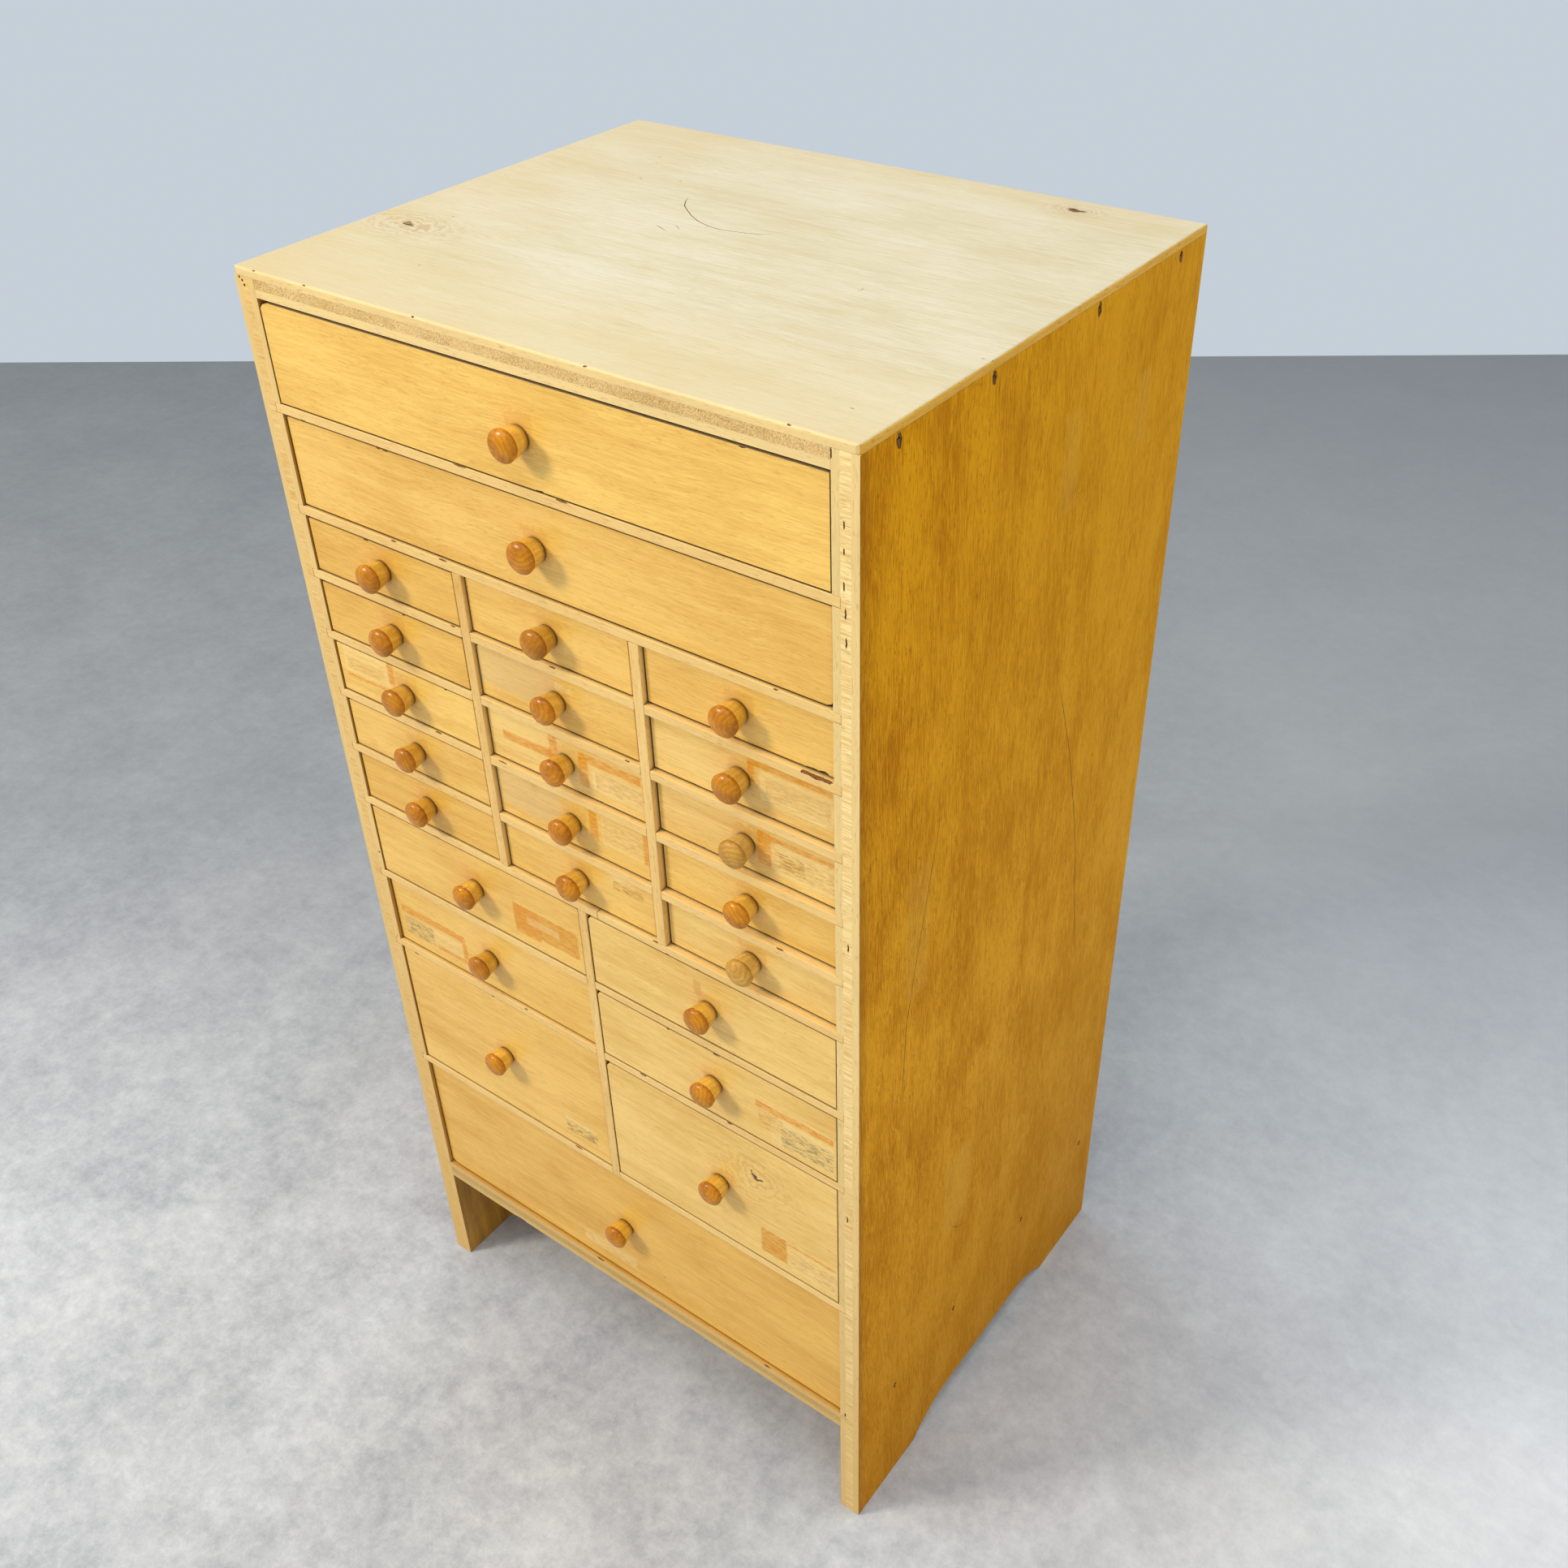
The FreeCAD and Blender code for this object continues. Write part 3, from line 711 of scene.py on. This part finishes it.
class CABINET_OT_back_panel(bpy.types.Operator):
    """Build the thin back panel with its sunk nail heads"""

    bl_idname = "cabinet.back_panel"
    bl_label = "Back panel"

    def execute(self, context):
        # Bare plywood, dulled by dust, with bold grain
        face = Finish("Thin plywood, bare", colours().raw, "C49C62", "Z", 0.9, 0.45, 0.6, 0.5).done(0.72)
        woods = [face, edge_woods()[5]]
        solid = clean_solids("back_panel")[0]
        low, high = extent(solid)
        ease(solid, 0.3 * MM)
        nails = []
        for side in (-1, 1):
            for step in range(8):
                z = low.z + 0.02 + (high.z - low.z - 0.04) * step / 7
                nails.append((side * (high.x - 0.004), z, step))
        nails += [(x, z, x) for x in (-0.13, -0.045, 0.045, 0.13) for z in (low.z + 0.006, high.z - 0.006)]
        cutters = [blob((x, high.y, z), (1.3, 0.6, 1.3), seed, 0.1) for x, z, seed in nails]
        dress("back_panel", [carve(solid, cutters, woods)], woods)
        return {"FINISHED"}


class CABINET_OT_shelves(bpy.types.Operator):
    """Build the shelves"""

    bl_idname = "cabinet.shelves"
    bl_label = "Shelves"

    def execute(self, context):
        # Front edges took the varnish like the fronts did; the faces behind get painted shade, darker from 5 to 12
        # mm behind the front edge
        thin = Finish("Okoume shelf, thin coat", colours().shelf, "E0B468", "X", 0.5, 0.7, 0.5, 0.3)
        thin.fade(1, FRONT_Y / MM + 5, FRONT_Y / MM + 12, "6B4617", 0.8)
        woods = [thin.done(0.5), edge_woods()[5]]
        rough = random.Random(4)
        for node in NODES:
            if not node.startswith("shelf_"):
                continue
            solid = clean_solids(node)[0]
            low, high = extent(solid)
            ease(solid, sizes().thin_ease)
            chips = chipped(rough, 3, low, high, 0.02, (1.5, 5), 0.7, 0.6)
            if node == "shelf_under_small_1":
                # Torn along its upper front edge, under the drawer front that is torn too
                for x, wide, tall in ((181, 4, 1.0), (188, 5, 1.7), (195, 3.5, 1.3)):
                    chips.append(blob((x * MM, low.y, high.z), (wide, 1.6, tall), x, 0.6))
            dress(node, [carve(solid, chips, woods)], woods)
        return {"FINISHED"}


class CABINET_OT_dividers(bpy.types.Operator):
    """Build the upright dividers"""

    bl_idname = "cabinet.dividers"
    bl_label = "Dividers"

    def execute(self, context):
        # The same thin coat as on the shelves, a little browner in its grain
        thin = Finish("Okoume divider, thin coat", colours().shelf, "D8A654", "Z", 0.5, 0.5, 0.5, 0.4)
        # Painted shade: darker from 3 to 9 mm behind the front edge, in the gaps beside the drawers
        thin.fade(1, FRONT_Y / MM + 3, FRONT_Y / MM + 9, "6B4617", 0.8)
        thin = thin.done(0.5)
        for node in NODES:
            if node.startswith("divider_"):
                solid = clean_solids(node)[0]
                ease(solid, sizes().thin_ease)
                dress(node, [solid], [thin])
        return {"FINISHED"}


class CABINET_OT_brads(bpy.types.Operator):
    """Finish the flat brads in the side panels"""

    bl_idname = "cabinet.brads"
    bl_label = "Brads"

    def execute(self, context):
        # Cut steel gone nearly black, with brown rust
        steel = Finish("Blackened steel of old brads", "33281E", "55402A", "X", 0.4, 0.6, 0.9, 0.0).done(0.6)
        for node in ("brads_left", "brads_right"):
            mesh = frame["nodes"][node].data
            mesh.materials.clear()
            mesh.materials.append(steel)
        return {"FINISHED"}


# The drawers. The tables below leave out the word drawer before each name

# The fronts that aren't honey-coloured, by their shade
SHADES = {
    "golden": ("top", "small_3_left"),
    "straw": ("small_2_right", "small_3_middle", "small_3_right", "small_5_right", "half_1_right",
              "half_2_right", "deep_right"),
    "tan": ("small_1_left", "small_2_left", "small_5_left", "bottom"),
}

# How much of a shade's red, green, blue and alpha is left in its grain, which makes it redder
GRAIN_SHARES = (0.80, 0.70, 0.52, 1.0)

# What old paper labels left on the fronts: the kind of mark, then its left, right, upper
# and lower edge in millimetres from the top left corner of the cabinet
MARKS = {
    "small_2_middle": (("grey", 150, 215, 197, 226), ("paper", 214, 228, 203, 209)),
    "small_2_right": (
        ("paper", 362, 411, 206, 227), ("fibres", 366, 410, 208, 222), ("glue", 354, 411, 200, 205),
        ("glue", 354, 359, 203, 216), ("dirt", 313, 316, 199, 200.5)),
    "small_3_left": (
        ("paper", 22, 66, 243, 264), ("fibres", 24, 60, 252, 262), ("glue", 22, 62, 265, 267.5),
        ("glue", 64, 70, 243, 260)),
    "small_3_middle": (
        ("glue", 163, 204, 257, 264), ("glue", 202, 209, 243, 262), ("glue", 226, 275, 248, 255),
        ("glue", 225, 233, 252, 274), ("paper", 236, 276, 257, 273), ("fibres", 238, 276, 258, 271)),
    "small_3_right": (
        ("paper", 370, 411, 252, 274), ("glue", 356, 411, 242, 246), ("glue", 358, 368, 248, 272),
        ("glue", 366, 411, 249, 253), ("crumbs", 373, 391, 258, 269), ("fibres", 370, 411, 256, 272)),
    "small_4_middle": (
        ("grey", 150, 205, 286, 318), ("glue", 229, 236, 286, 312), ("glue", 234, 276, 287, 290),
        ("paper", 239, 272, 292, 313), ("fibres", 240, 272, 293, 311), ("glue", 272, 276, 290, 314)),
    "small_5_middle": (("paper", 241, 262, 332, 341), ("crumbs", 243, 268, 339, 347)),
    "half_1_left": (
        ("stain", 148, 207, 402, 425), ("glue", 148, 172, 402, 428), ("paper", 160, 190, 409, 416)),
    "half_2_left": (
        ("paper", 24, 84, 476, 493), ("glue", 22, 88, 467, 474), ("glue", 84, 89, 474, 490),
        ("ink", 24, 54, 477, 494), ("glue", 56, 86, 490, 494)),
    "half_2_right": (
        ("paper", 362, 411, 473, 498), ("glue", 350, 411, 466, 472), ("fibres", 352, 372, 471, 490),
        ("ink", 370, 411, 478, 497)),
    "deep_left": (("paper", 168, 198, 599, 607), ("ink", 168, 199, 603, 615)),
    "deep_right": (
        ("stain", 349, 371, 593, 618), ("glue", 372, 411, 594, 596.5), ("paper", 374, 411, 599, 621),
        ("fibres", 374, 411, 600, 618)),
    "bottom": (("paper", 168, 222, 729, 743), ("dirt", 249, 251, 729, 730)),
    "half_1_right": (("smudge", 305, 312, 387, 399),),
}

# Colour, strength, raggedness of the outline and grit of each kind of mark. Glue and paper
# name a colour of the panel instead of giving one
MARK_KINDS = {
    "glue": ("residue", 0.95, 2.4, 0.6), "stain": ("D68E00", 1.0, 3.4, 0.5), "paper": ("paper", 0.4, 3.5, 0.8),
    "crumbs": ("AE7C14", 0.72, 4.0, 0.9), "ink": ("7E6626", 0.68, 4.0, 1.3), "smudge": ("C98A30", 0.5, 5.0, 0.3),
    "fibres": ("C68A24", 0.55, 4.0, 1.4), "dirt": ("3C2810", 0.95, 0.8, 0.0), "grey": ("CDB487", 0.4, 22.0, 0.4),
}

# How much was planed off the right edge of a small front so that it runs free, in millimetres
PLANED = {"small_%d_%s" % (row, column): planed
          for column, planed in (("left", 1.1), ("middle", 2.3)) for row in range(1, 6)}
USUALLY_PLANED = 0.3

# Corners knocked off the fronts: left (-1) or right (1), top (1) or bottom (-1), and millimetres
KNOCKED_CORNERS = {
    "top": (-1, 1, 4.4, 2.9),
    "half_1_right": (-1, 1, 3.2, 2.6),
    "half_2_right": (-1, 1, 3.0, 2.2),
    "deep_right": (-1, 1, 3.6, 3.0),
    "bottom": (-1, -1, 4.0, 3.5),
    "small_2_middle": (-1, 1, 3.0, 1.6),
    "second": (1, -1, 2.6, 2.2),
}

# How far a front's lower edge lies above the underside of its drawer, how far its varnish
# reaches in over its edges, and the most that a drawer's bottom is thick
FRONT_LIFT = 0.7 * MM
VARNISHED_EDGE = 4.1 * MM
FLOOR_MOST = 3.1 * MM

# Millimetres between a front and the base of its knob
KNOB_GAP = 0.1


def name_of(node):
    """A drawer's name without the word drawer."""
    return node.removeprefix("drawer_")


def front_face(node):
    """Where the face of a drawer's front lies in Y."""
    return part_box(node)[0].y + sizes().knob_length + KNOB_GAP * MM


def front_middle(node):
    """The middle of the face of a drawer's front."""
    low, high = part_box(node)
    return Vector(((low.x + high.x) / 2, front_face(node), (low.z + FRONT_LIFT + high.z) / 2))


def front_finish(node, number):
    """The veneer of one drawer front with its own shade, figure and label marks."""
    c = colours()
    name = name_of(node)
    shade = getattr(c, next((shade for shade, names in SHADES.items() if name in names), "honey"))
    dark = [part * share for part, share in zip(shade, GRAIN_SHARES)]
    offset = (number * 311.0, number * 57.0, number * 173.0)
    # Clear varnish gone yellow over sliced veneer: fine level streaks and slow cloudy blotches
    front = Finish("Okoume front, yellowed varnish, " + name.replace("_", " "), shade, dark, "X",
                   0.55, 0.95, 0.65, 0.25, "A06C1C", offset)
    # Fingers have darkened the varnish around the knob
    x, face, z = front_middle(node).x / MM, front_face(node) / MM, front_middle(node).z / MM
    front.patch((x - 9, -THROUGH, z - 8), (x + 11, THROUGH, z + 13), "CF8F33", 0.28, 16, 0.0)
    for kind, left, right, upper, lower in MARKS.get(name, ()):
        start, end = from_corner(left, lower) / MM, from_corner(right, upper) / MM
        over, strength, ragged, grit = MARK_KINDS[kind]
        front.patch((start.x, -THROUGH, start.z), (end.x, THROUGH, end.z), getattr(c, over, over),
                    strength, ragged, grit)
    if name == "deep_right":
        knot = from_corner(347, 544) / MM
        front.knot((knot.x, face, knot.z), 2.8, "C0904A", "4A2E10", 22, (0.8, 1, 0.9), 0.45)
    if name == "small_4_middle":
        knot = from_corner(184, 290) / MM
        front.knot((knot.x, face, knot.z), 0.9, "B98B45", "F0DCA4", 5, (1.6, 1, 0.7), 0.6)
    # Painted shade: the edges round the front darken from 0.7 to 2.5 mm behind its face, in the gaps round it
    front.fade(1, face + 0.7, face + 2.5, "5E3C12", 0.85)
    return front.done(0.42, 0.1)


class CABINET_OT_drawers(bpy.types.Operator):
    """Build the drawers, each a front board and a box"""

    bl_idname = "cabinet.drawers"
    bl_label = "Drawers"

    def execute(self, context):
        c = colours()
        torn = edge_woods()[5]
        # Bare beech: even, with fine flecks, and dull
        box_side = Finish("Beech drawer side, bare", c.raw, "CBA469", "Y", 0.4, 0.4, 0.4, 0.6).done(0.62)
        # Bare plywood: level grain with wide rings, and duller still
        box_floor = Finish("Thin plywood drawer bottom, bare", "DAB780", "C39A5E", "X", 0.7).done(0.7)
        # The side of a front that was never varnished
        inside = Finish("Back of a drawer front, bare", c.raw, "CBA469", "X").done(0.65)
        for number, node in enumerate(DRAWERS):
            name, face = name_of(node), front_face(node)
            low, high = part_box(node)
            low, high = Vector((low.x, face, low.z + FRONT_LIFT)), Vector((high.x, face, high.z))
            woods = [front_finish(node, number), inside, box_side, box_floor, torn]
            chips = chipped(random.Random(number + 11), 2, low, high, 0.012, (1.2, 3.5), 0.6, 0.55)
            if name == "small_1_right":
                for x, wide, tall in ((184, 5, 1.2), (191, 4, 1.8)):
                    chips.append(blob((x * MM, face, low.z), (wide, 1.4, tall), x, 0.6))
            solids = []
            for solid in clean_solids(node):
                corner, far = extent(solid)
                # The frame's knob gives way to the turned one
                if corner.y < face - MM:
                    solid.free()
                    continue
                if far.y >= face + sizes().front_thickness + MM:
                    is_floor = far.z - corner.z < FLOOR_MOST
                    ease(solid, sizes().inner_ease)
                    finish(solid, lambda at, normal: 3 if is_floor else 2)
                    solids.append(solid)
                    continue
                planed = PLANED.get(name, USUALLY_PLANED) * MM
                for vert in solid.verts:
                    if vert.co.x > far.x - MM:
                        vert.co.x -= planed
                far.x -= planed
                if name in KNOCKED_CORNERS:
                    side, level, wide, tall = KNOCKED_CORNERS[name]
                    x = far.x if side > 0 else corner.x
                    z = far.z if level > 0 else corner.z
                    point = Vector((x - side * wide * 0.5 * MM, face, z - level * tall * 0.5 * MM))
                    for share in (0.62, 0.30):
                        lean = Vector((side * tall * share, -0.25, level * wide * (1 - share)))
                        clip(solid, point, lean.normalized())
                ease(solid, sizes().drawer_ease)
                finish(solid, lambda at, normal: 0 if at.y < face + VARNISHED_EDGE else 1)
                solids.append(carve(solid, chips, woods))
            dress(node, solids, woods)
        return {"FINISHED"}


# How far a knob sits off the middle of its front, right and up, in millimetres
KNOB_SHIFTS = {
    "top": (0, -2.5), "second": (0.5, 0), "small_2_right": (-1.0, 0.5), "half_1_right": (0, -0.5),
    "deep_right": (0, -1.0)}

# How thick a knob came out of the lathe, against the fullest one
KNOB_GIRTHS = {
    "top": 1.0, "second": 1.0, "small_2_middle": 0.95, "small_3_middle": 0.94, "small_4_middle": 0.93,
    "small_3_right": 0.94, "small_4_right": 0.93, "small_4_left": 0.93}
USUAL_GIRTH = 0.975

# The two knobs whose varnish is gone
WORN_KNOBS = ("small_3_right", "small_5_right")

# Half outline of a knob, from the drawer front outwards: distance and radius in millimetres
KNOB_OUTLINE = (
    (0.0, 6.7), (0.1, 7.1), (0.45, 7.3), (2.5, 7.7), (5.0, 8.2), (7.6, 8.72), (9.6, 9.05), (10.3, 9.12),
    (10.6, 9.0), (10.8, 8.75), (11.0, 8.72), (11.15, 9.0), (11.4, 9.4), (12.0, 9.62), (12.7, 9.66),
    (13.3, 9.45), (14.0, 8.95), (14.7, 8.1), (15.3, 7.0), (15.8, 5.6), (16.2, 3.9), (16.45, 2.0), (16.55, 0.0))

# How far out on that outline the shank ends, and the bead before the face starts and ends
SHANK_END, BEAD_START, BEAD_END = 10.35 * MM, 11.1 * MM, 11.6 * MM


def turned(outline, sides=48):
    """A solid of revolution about -Y from (distance, radius) pairs in millimetres."""
    solid = bmesh.new()
    rings = []
    for distance, radius in outline:
        angles = [2 * math.pi * i / sides for i in range(sides if radius else 1)]
        rings.append([solid.verts.new((
            radius * MM * math.cos(angle), -distance * MM, radius * MM * math.sin(angle))) for angle in angles])
    solid.faces.new(rings[0])
    for near, far in zip(rings, rings[1:]):
        for i in range(sides):
            j = (i + 1) % sides
            solid.faces.new((near[i], near[j], far[0]) if len(far) == 1 else (near[i], near[j], far[j], far[i]))
    bmesh.ops.recalc_face_normals(solid, faces=solid.faces)
    return solid


def knob_finish(name, light, dark, rings_dark, rough, coat, arc_strength):
    """Turned wood, with the arcs of its growth rings on the faces that cut across the grain."""
    knob = Finish(name, light, dark, "Y", 0.5, 0.5, 0.9, 0.5, "6A3A10", stretch=2.0)
    tree = knob.tree
    # The heart of the tree lies up to 18 mm off the knob's middle, elsewhere for each knob
    lot = add(tree, "ObjectInfo", out="Random")
    right = add(tree, "MapRange", lot, 0.0, 1.0, -14.0, 9.0)
    up = add(tree, "MapRange", lot, 0.0, 1.0, 6.0, -16.0)
    away = add(tree, "VectorMath", knob.place, (1.0, 0.12, 1.0), operation="MULTIPLY")
    away = add(tree, "VectorMath", away, add(tree, "CombineXYZ", right, 0.0, up), operation="SUBTRACT")
    far = add(tree, "VectorMath", away, operation="LENGTH", out="Value")
    shake = add(tree, "MapRange", knob.tone, 0.0, 1.0, -1.1, 1.1)
    far = add(tree, "Math", far, shake, operation="ADD")
    # One ring every 2.7 mm
    arcs = add(tree, "Math", add(tree, "Math", far, 2.3, operation="MULTIPLY"), operation="SINE")
    knob.coat(add(tree, "MapRange", arcs, -0.1, 1.0, 0.0, arc_strength), rings_dark)
    # No two knobs took the varnish alike
    knob.coat(add(tree, "MapRange", lot, 0.35, 1.0, 0.0, 0.3), "8F5C10")
    # Painted shade: darker next to the drawer front, over the last 4.5 mm of the shank
    knob.fade(1, -4.5, 0, "6E420C", 0.75)
    return knob.done(rough, coat, 0.15, 0.06, shine=0.22)


class CABINET_OT_knobs(bpy.types.Operator):
    """Build the turned knobs"""

    bl_idname = "cabinet.knobs"
    bl_label = "Knobs"

    def execute(self, context):
        c = colours()
        # Thick orange varnish on the domed face, smooth enough for a clear highlight
        face = knob_finish("Turned beech, glossy orange varnish", "D58A08", c.knob, "804800", 0.22, 0.2, 0.32)
        # Rubbed thin by fingers on the shank, so paler and yellower
        shank = knob_finish("Turned beech, rubbed varnish", "F4C254", c.shank, "B67E22", 0.3, 0.2, 0.3)
        # Worn through on the sharp bead, down to pale wood
        bead = Finish("Turned bead, varnish worn through", "EBC470", "C8953A", "Y").done(0.4)
        # Gone altogether on two knobs, which leaves them paler and duller
        worn_face = knob_finish("Turned beech, varnish gone", "DCA84A", "B78430", "93661F", 0.42, 0.1, 0.4)
        worn_shank = knob_finish(
            "Turned beech shank, varnish gone", "F0C66C", "CFA248", "A87C34", 0.42, 0.1, 0.25)

        def skin(at, normal):
            if -at.y < SHANK_END:
                return 1
            return 2 if BEAD_START < -at.y < BEAD_END else 0

        rough = random.Random(8)
        for node in DRAWERS:
            name = name_of(node)
            girth = KNOB_GIRTHS.get(name, USUAL_GIRTH)
            solid = turned([(distance, radius * girth) for distance, radius in KNOB_OUTLINE])
            finish(solid, skin)
            materials = [worn_face, worn_shank, bead] if name in WORN_KNOBS else [face, shank, bead]
            piece = make_object("knob_" + name, [solid], materials, 40)
            across, rise = KNOB_SHIFTS.get(name, (0, 0))
            piece.location = front_middle(node) + Vector((across, -KNOB_GAP, rise)) * MM
            piece.rotation_euler = (0, rough.uniform(0, 2 * math.pi), 0)
            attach(piece, BODY_OF[node])
        return {"FINISHED"}


class CABINET_OT_screws(bpy.types.Operator):
    """Build the slotted screws that hold the knobs, inside the drawer fronts"""

    bl_idname = "cabinet.screws"
    bl_label = "Knob screws"

    def execute(self, context):
        # Zinc gone grey; painted shade darkens the slot, as it does every narrow crack
        zinc = Finish("Zinc-plated screw, dulled", "A9A69C", "7E7A70", "X", 0.2, 0.3, 0.5, 0.0)
        zinc = zinc.done(0.38, metal=0.9)
        half = sizes().screw_head / 2 / MM
        outline = ((0.0, half), (0.5, half), (1.0, half * 0.88), (1.4, half * 0.62), (1.6, half * 0.3), (1.65, 0.0))
        slot_size = Matrix.Diagonal((half * 2.4 * MM, 1.5 * MM, 0.9 * MM, 1.0))
        for node in DRAWERS:
            name = name_of(node)
            slot = bmesh.new()
            bmesh.ops.create_cube(slot, size=1.0, matrix=slot_size)
            bmesh.ops.translate(slot, verts=slot.verts, vec=(0, -1.7 * MM, 0))
            piece = make_object("screw_" + name, [carve(turned(outline, 32), [slot], [zinc])], [zinc], 30)
            across, rise = KNOB_SHIFTS.get(name, (0, 0))
            behind = sizes().front_thickness + 0.02 * MM
            piece.location = front_middle(node) + Vector((across * MM, behind, rise * MM))
            piece.rotation_euler = (0, 0, math.pi)
            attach(piece, BODY_OF[node])
        return {"FINISHED"}


# The stage

# The far edge of the floor: a place on it, the level direction along it and the one away from
# the viewer across it
FAR_EDGE = Vector((-2.430, 0.776, 0.0))
ALONG, AWAY = Vector((0.8329, 0.5534, 0.0)), Vector((-0.5534, 0.8329, 0.0))

# Painted light and shade on the floor: direction, start and end in metres, strength and colour. It is
# painted lighter on the right in front and painted darker towards the wall
FLOOR_LIGHT_AND_SHADE = (
    (ALONG, 0.1, 0.6, 0.5, "F2F4F5"), (AWAY, 0.0, 0.6, 0.7, "7E8183"), (AWAY, 0.7, 2.0, 0.5, "6E7173"))

# Soft lamps: name, place, width in metres, watts and colour. All point at the cabinet's middle
LAMPS = (
    ("window_left", (-1.9, -2.3, 2.5), 0.7, 74, "FFF6E8"),
    ("ceiling", (0.1, -0.6, 3.2), 2.2, 34, "FFFBF4"),
    ("fill_right", (2.8, -0.9, 1.5), 1.8, 8, "FFF2DE"))
LAMP_AIM = Vector((0, 0, 0.5))

# The camera as fitted to the photo: its place, its right and up directions, its focal length
# in pixels of a picture this wide, and the width of its sensor in millimetres
CAMERA_PLACE = (0.5865932, FRONT_Y - 0.5429604, 1.1821063)
CAMERA_RIGHT = Vector((0.80280803, 0.59565182, -0.02642313))
CAMERA_UP = Vector((-0.33933214, 0.49288642, 0.80119703))
FOCAL_PIXELS, PICTURE_PIXELS, SENSOR = 2007.35, 1932, 36


class CABINET_OT_stage(bpy.types.Operator):
    """Set up the floor, the lights and the camera"""

    bl_idname = "cabinet.stage"
    bl_label = "Stage"

    def execute(self, context):
        scene = context.scene

        def link(name, data):
            holder = bpy.data.objects.new(name, data)
            scene.collection.objects.link(holder)
            return holder

        # The floor ends behind the cabinet, and the pale studio shows beyond it
        corners = [FAR_EDGE + ALONG * right - AWAY * near for right, near in ((-5, 0), (8, 0), (8, 9), (-5, 9))]
        mesh = bpy.data.meshes.new("floor")
        mesh.from_pydata(corners, [], [(3, 2, 1, 0)])
        floor = link("floor", mesh)
        material = bpy.data.materials.new("Smoothed concrete, pale")
        material.use_nodes = True
        tree = material.node_tree
        place = add(tree, "TexCoord", out="Object")
        # Trowelled grey with soft clouds a hand wide, and the fine speckle of sand and wear
        cloud = add(tree, "TexNoise", out="Fac", named={
            "Vector": place, "Scale": 6.0, "Detail": 12.0, "Roughness": 0.72})
        speckle = add(tree, "TexNoise", out="Fac", named={
            "Vector": place, "Scale": 55.0, "Detail": 6.0, "Roughness": 0.85})
        tone = add(tree, "Math", add(tree, "MapRange", cloud, 0.3, 0.7, 0.0, 0.6),
                   add(tree, "MapRange", speckle, 0.35, 0.65, 0.0, 0.4), operation="ADD")
        shade = add(tree, "Mix", out=2, data_type="RGBA", named={
            0: tone, 6: linear("92949A"), 7: linear("D8DADA")})
        # Painted light on the right in front and painted shade towards the wall
        for direction, start, end, most, code in FLOOR_LIGHT_AND_SHADE:
            far = add(tree, "VectorMath", place, direction, operation="DOT_PRODUCT", out="Value")
            mask = add(tree, "MapRange", far, start, end, 0.0, most)
            shade = add(tree, "Mix", out=2, data_type="RGBA", named={0: mask, 6: shade, 7: linear(code)})
        shader = tree.nodes["Principled BSDF"]
        tree.links.new(shade, shader.inputs["Base Color"])
        shader.inputs["Roughness"].default_value = 0.8
        mesh.materials.append(material)

        scene.world = bpy.data.worlds.new("Studio")
        scene.world.use_nodes = True
        sky = scene.world.node_tree.nodes["Background"].inputs
        sky["Color"].default_value = linear("CFD9E3")
        sky["Strength"].default_value = 0.9

        for name, spot, width, power, code in LAMPS:
            lamp = bpy.data.lights.new(name, "AREA")
            lamp.size = width
            lamp.energy = power
            lamp.color = linear(code)[:3]
            holder = link(name, lamp)
            holder.location = spot
            holder.rotation_euler = (LAMP_AIM - Vector(spot)).to_track_quat("-Z", "Y").to_euler()

        scene.view_settings.view_transform = "Standard"
        camera = bpy.data.cameras.new("camera")
        camera.sensor_width = SENSOR
        camera.lens = SENSOR * FOCAL_PIXELS / PICTURE_PIXELS
        camera.clip_start = 0.01
        scene.camera = link("camera", camera)
        turn = Matrix((CAMERA_RIGHT, CAMERA_UP, CAMERA_RIGHT.cross(CAMERA_UP))).transposed()
        scene.camera.matrix_world = Matrix.Translation(CAMERA_PLACE) @ turn.to_4x4()
        return {"FINISHED"}


PIECES = (
    CABINET_OT_side_panels,
    CABINET_OT_top_panel,
    CABINET_OT_bottom_board,
    CABINET_OT_back_panel,
    CABINET_OT_shelves,
    CABINET_OT_dividers,
    CABINET_OT_brads,
    CABINET_OT_drawers,
    CABINET_OT_knobs,
    CABINET_OT_screws,
    CABINET_OT_stage,
)


class CABINET_PT_panel(bpy.types.Panel):
    """Lists the pieces of the cabinet and their sizes and colours"""

    bl_label = "Parts cabinet"
    bl_idname = "CABINET_PT_panel"
    bl_space_type = "VIEW_3D"
    bl_region_type = "UI"
    bl_category = "Cabinet"

    def draw(self, context):
        for operator in PIECES:
            self.layout.operator(operator.bl_idname)
        for group in (context.scene.cabinet_sizes, context.scene.cabinet_colours):
            for key in group.__annotations__:
                self.layout.prop(group, key)


CLASSES = (CabinetSizes, CabinetColours) + PIECES + (CABINET_PT_panel,)


def register():
    """Registers the classes and the settings."""
    for cls in CLASSES:
        bpy.utils.register_class(cls)
    bpy.types.Scene.cabinet_sizes = bpy.props.PointerProperty(type=CabinetSizes)
    bpy.types.Scene.cabinet_colours = bpy.props.PointerProperty(type=CabinetColours)


def unregister():
    """Takes the classes and the settings out again."""
    del bpy.types.Scene.cabinet_colours
    del bpy.types.Scene.cabinet_sizes
    for cls in reversed(CLASSES):
        bpy.utils.unregister_class(cls)


def main():
    """Builds every piece and the stage."""
    register()
    bpy.ops.cabinet.side_panels()
    bpy.ops.cabinet.top_panel()
    bpy.ops.cabinet.bottom_board()
    bpy.ops.cabinet.back_panel()
    bpy.ops.cabinet.shelves()
    bpy.ops.cabinet.dividers()
    bpy.ops.cabinet.brads()
    bpy.ops.cabinet.drawers()
    bpy.ops.cabinet.knobs()
    bpy.ops.cabinet.screws()
    bpy.ops.cabinet.stage()


if __name__ == "__main__":
    main()
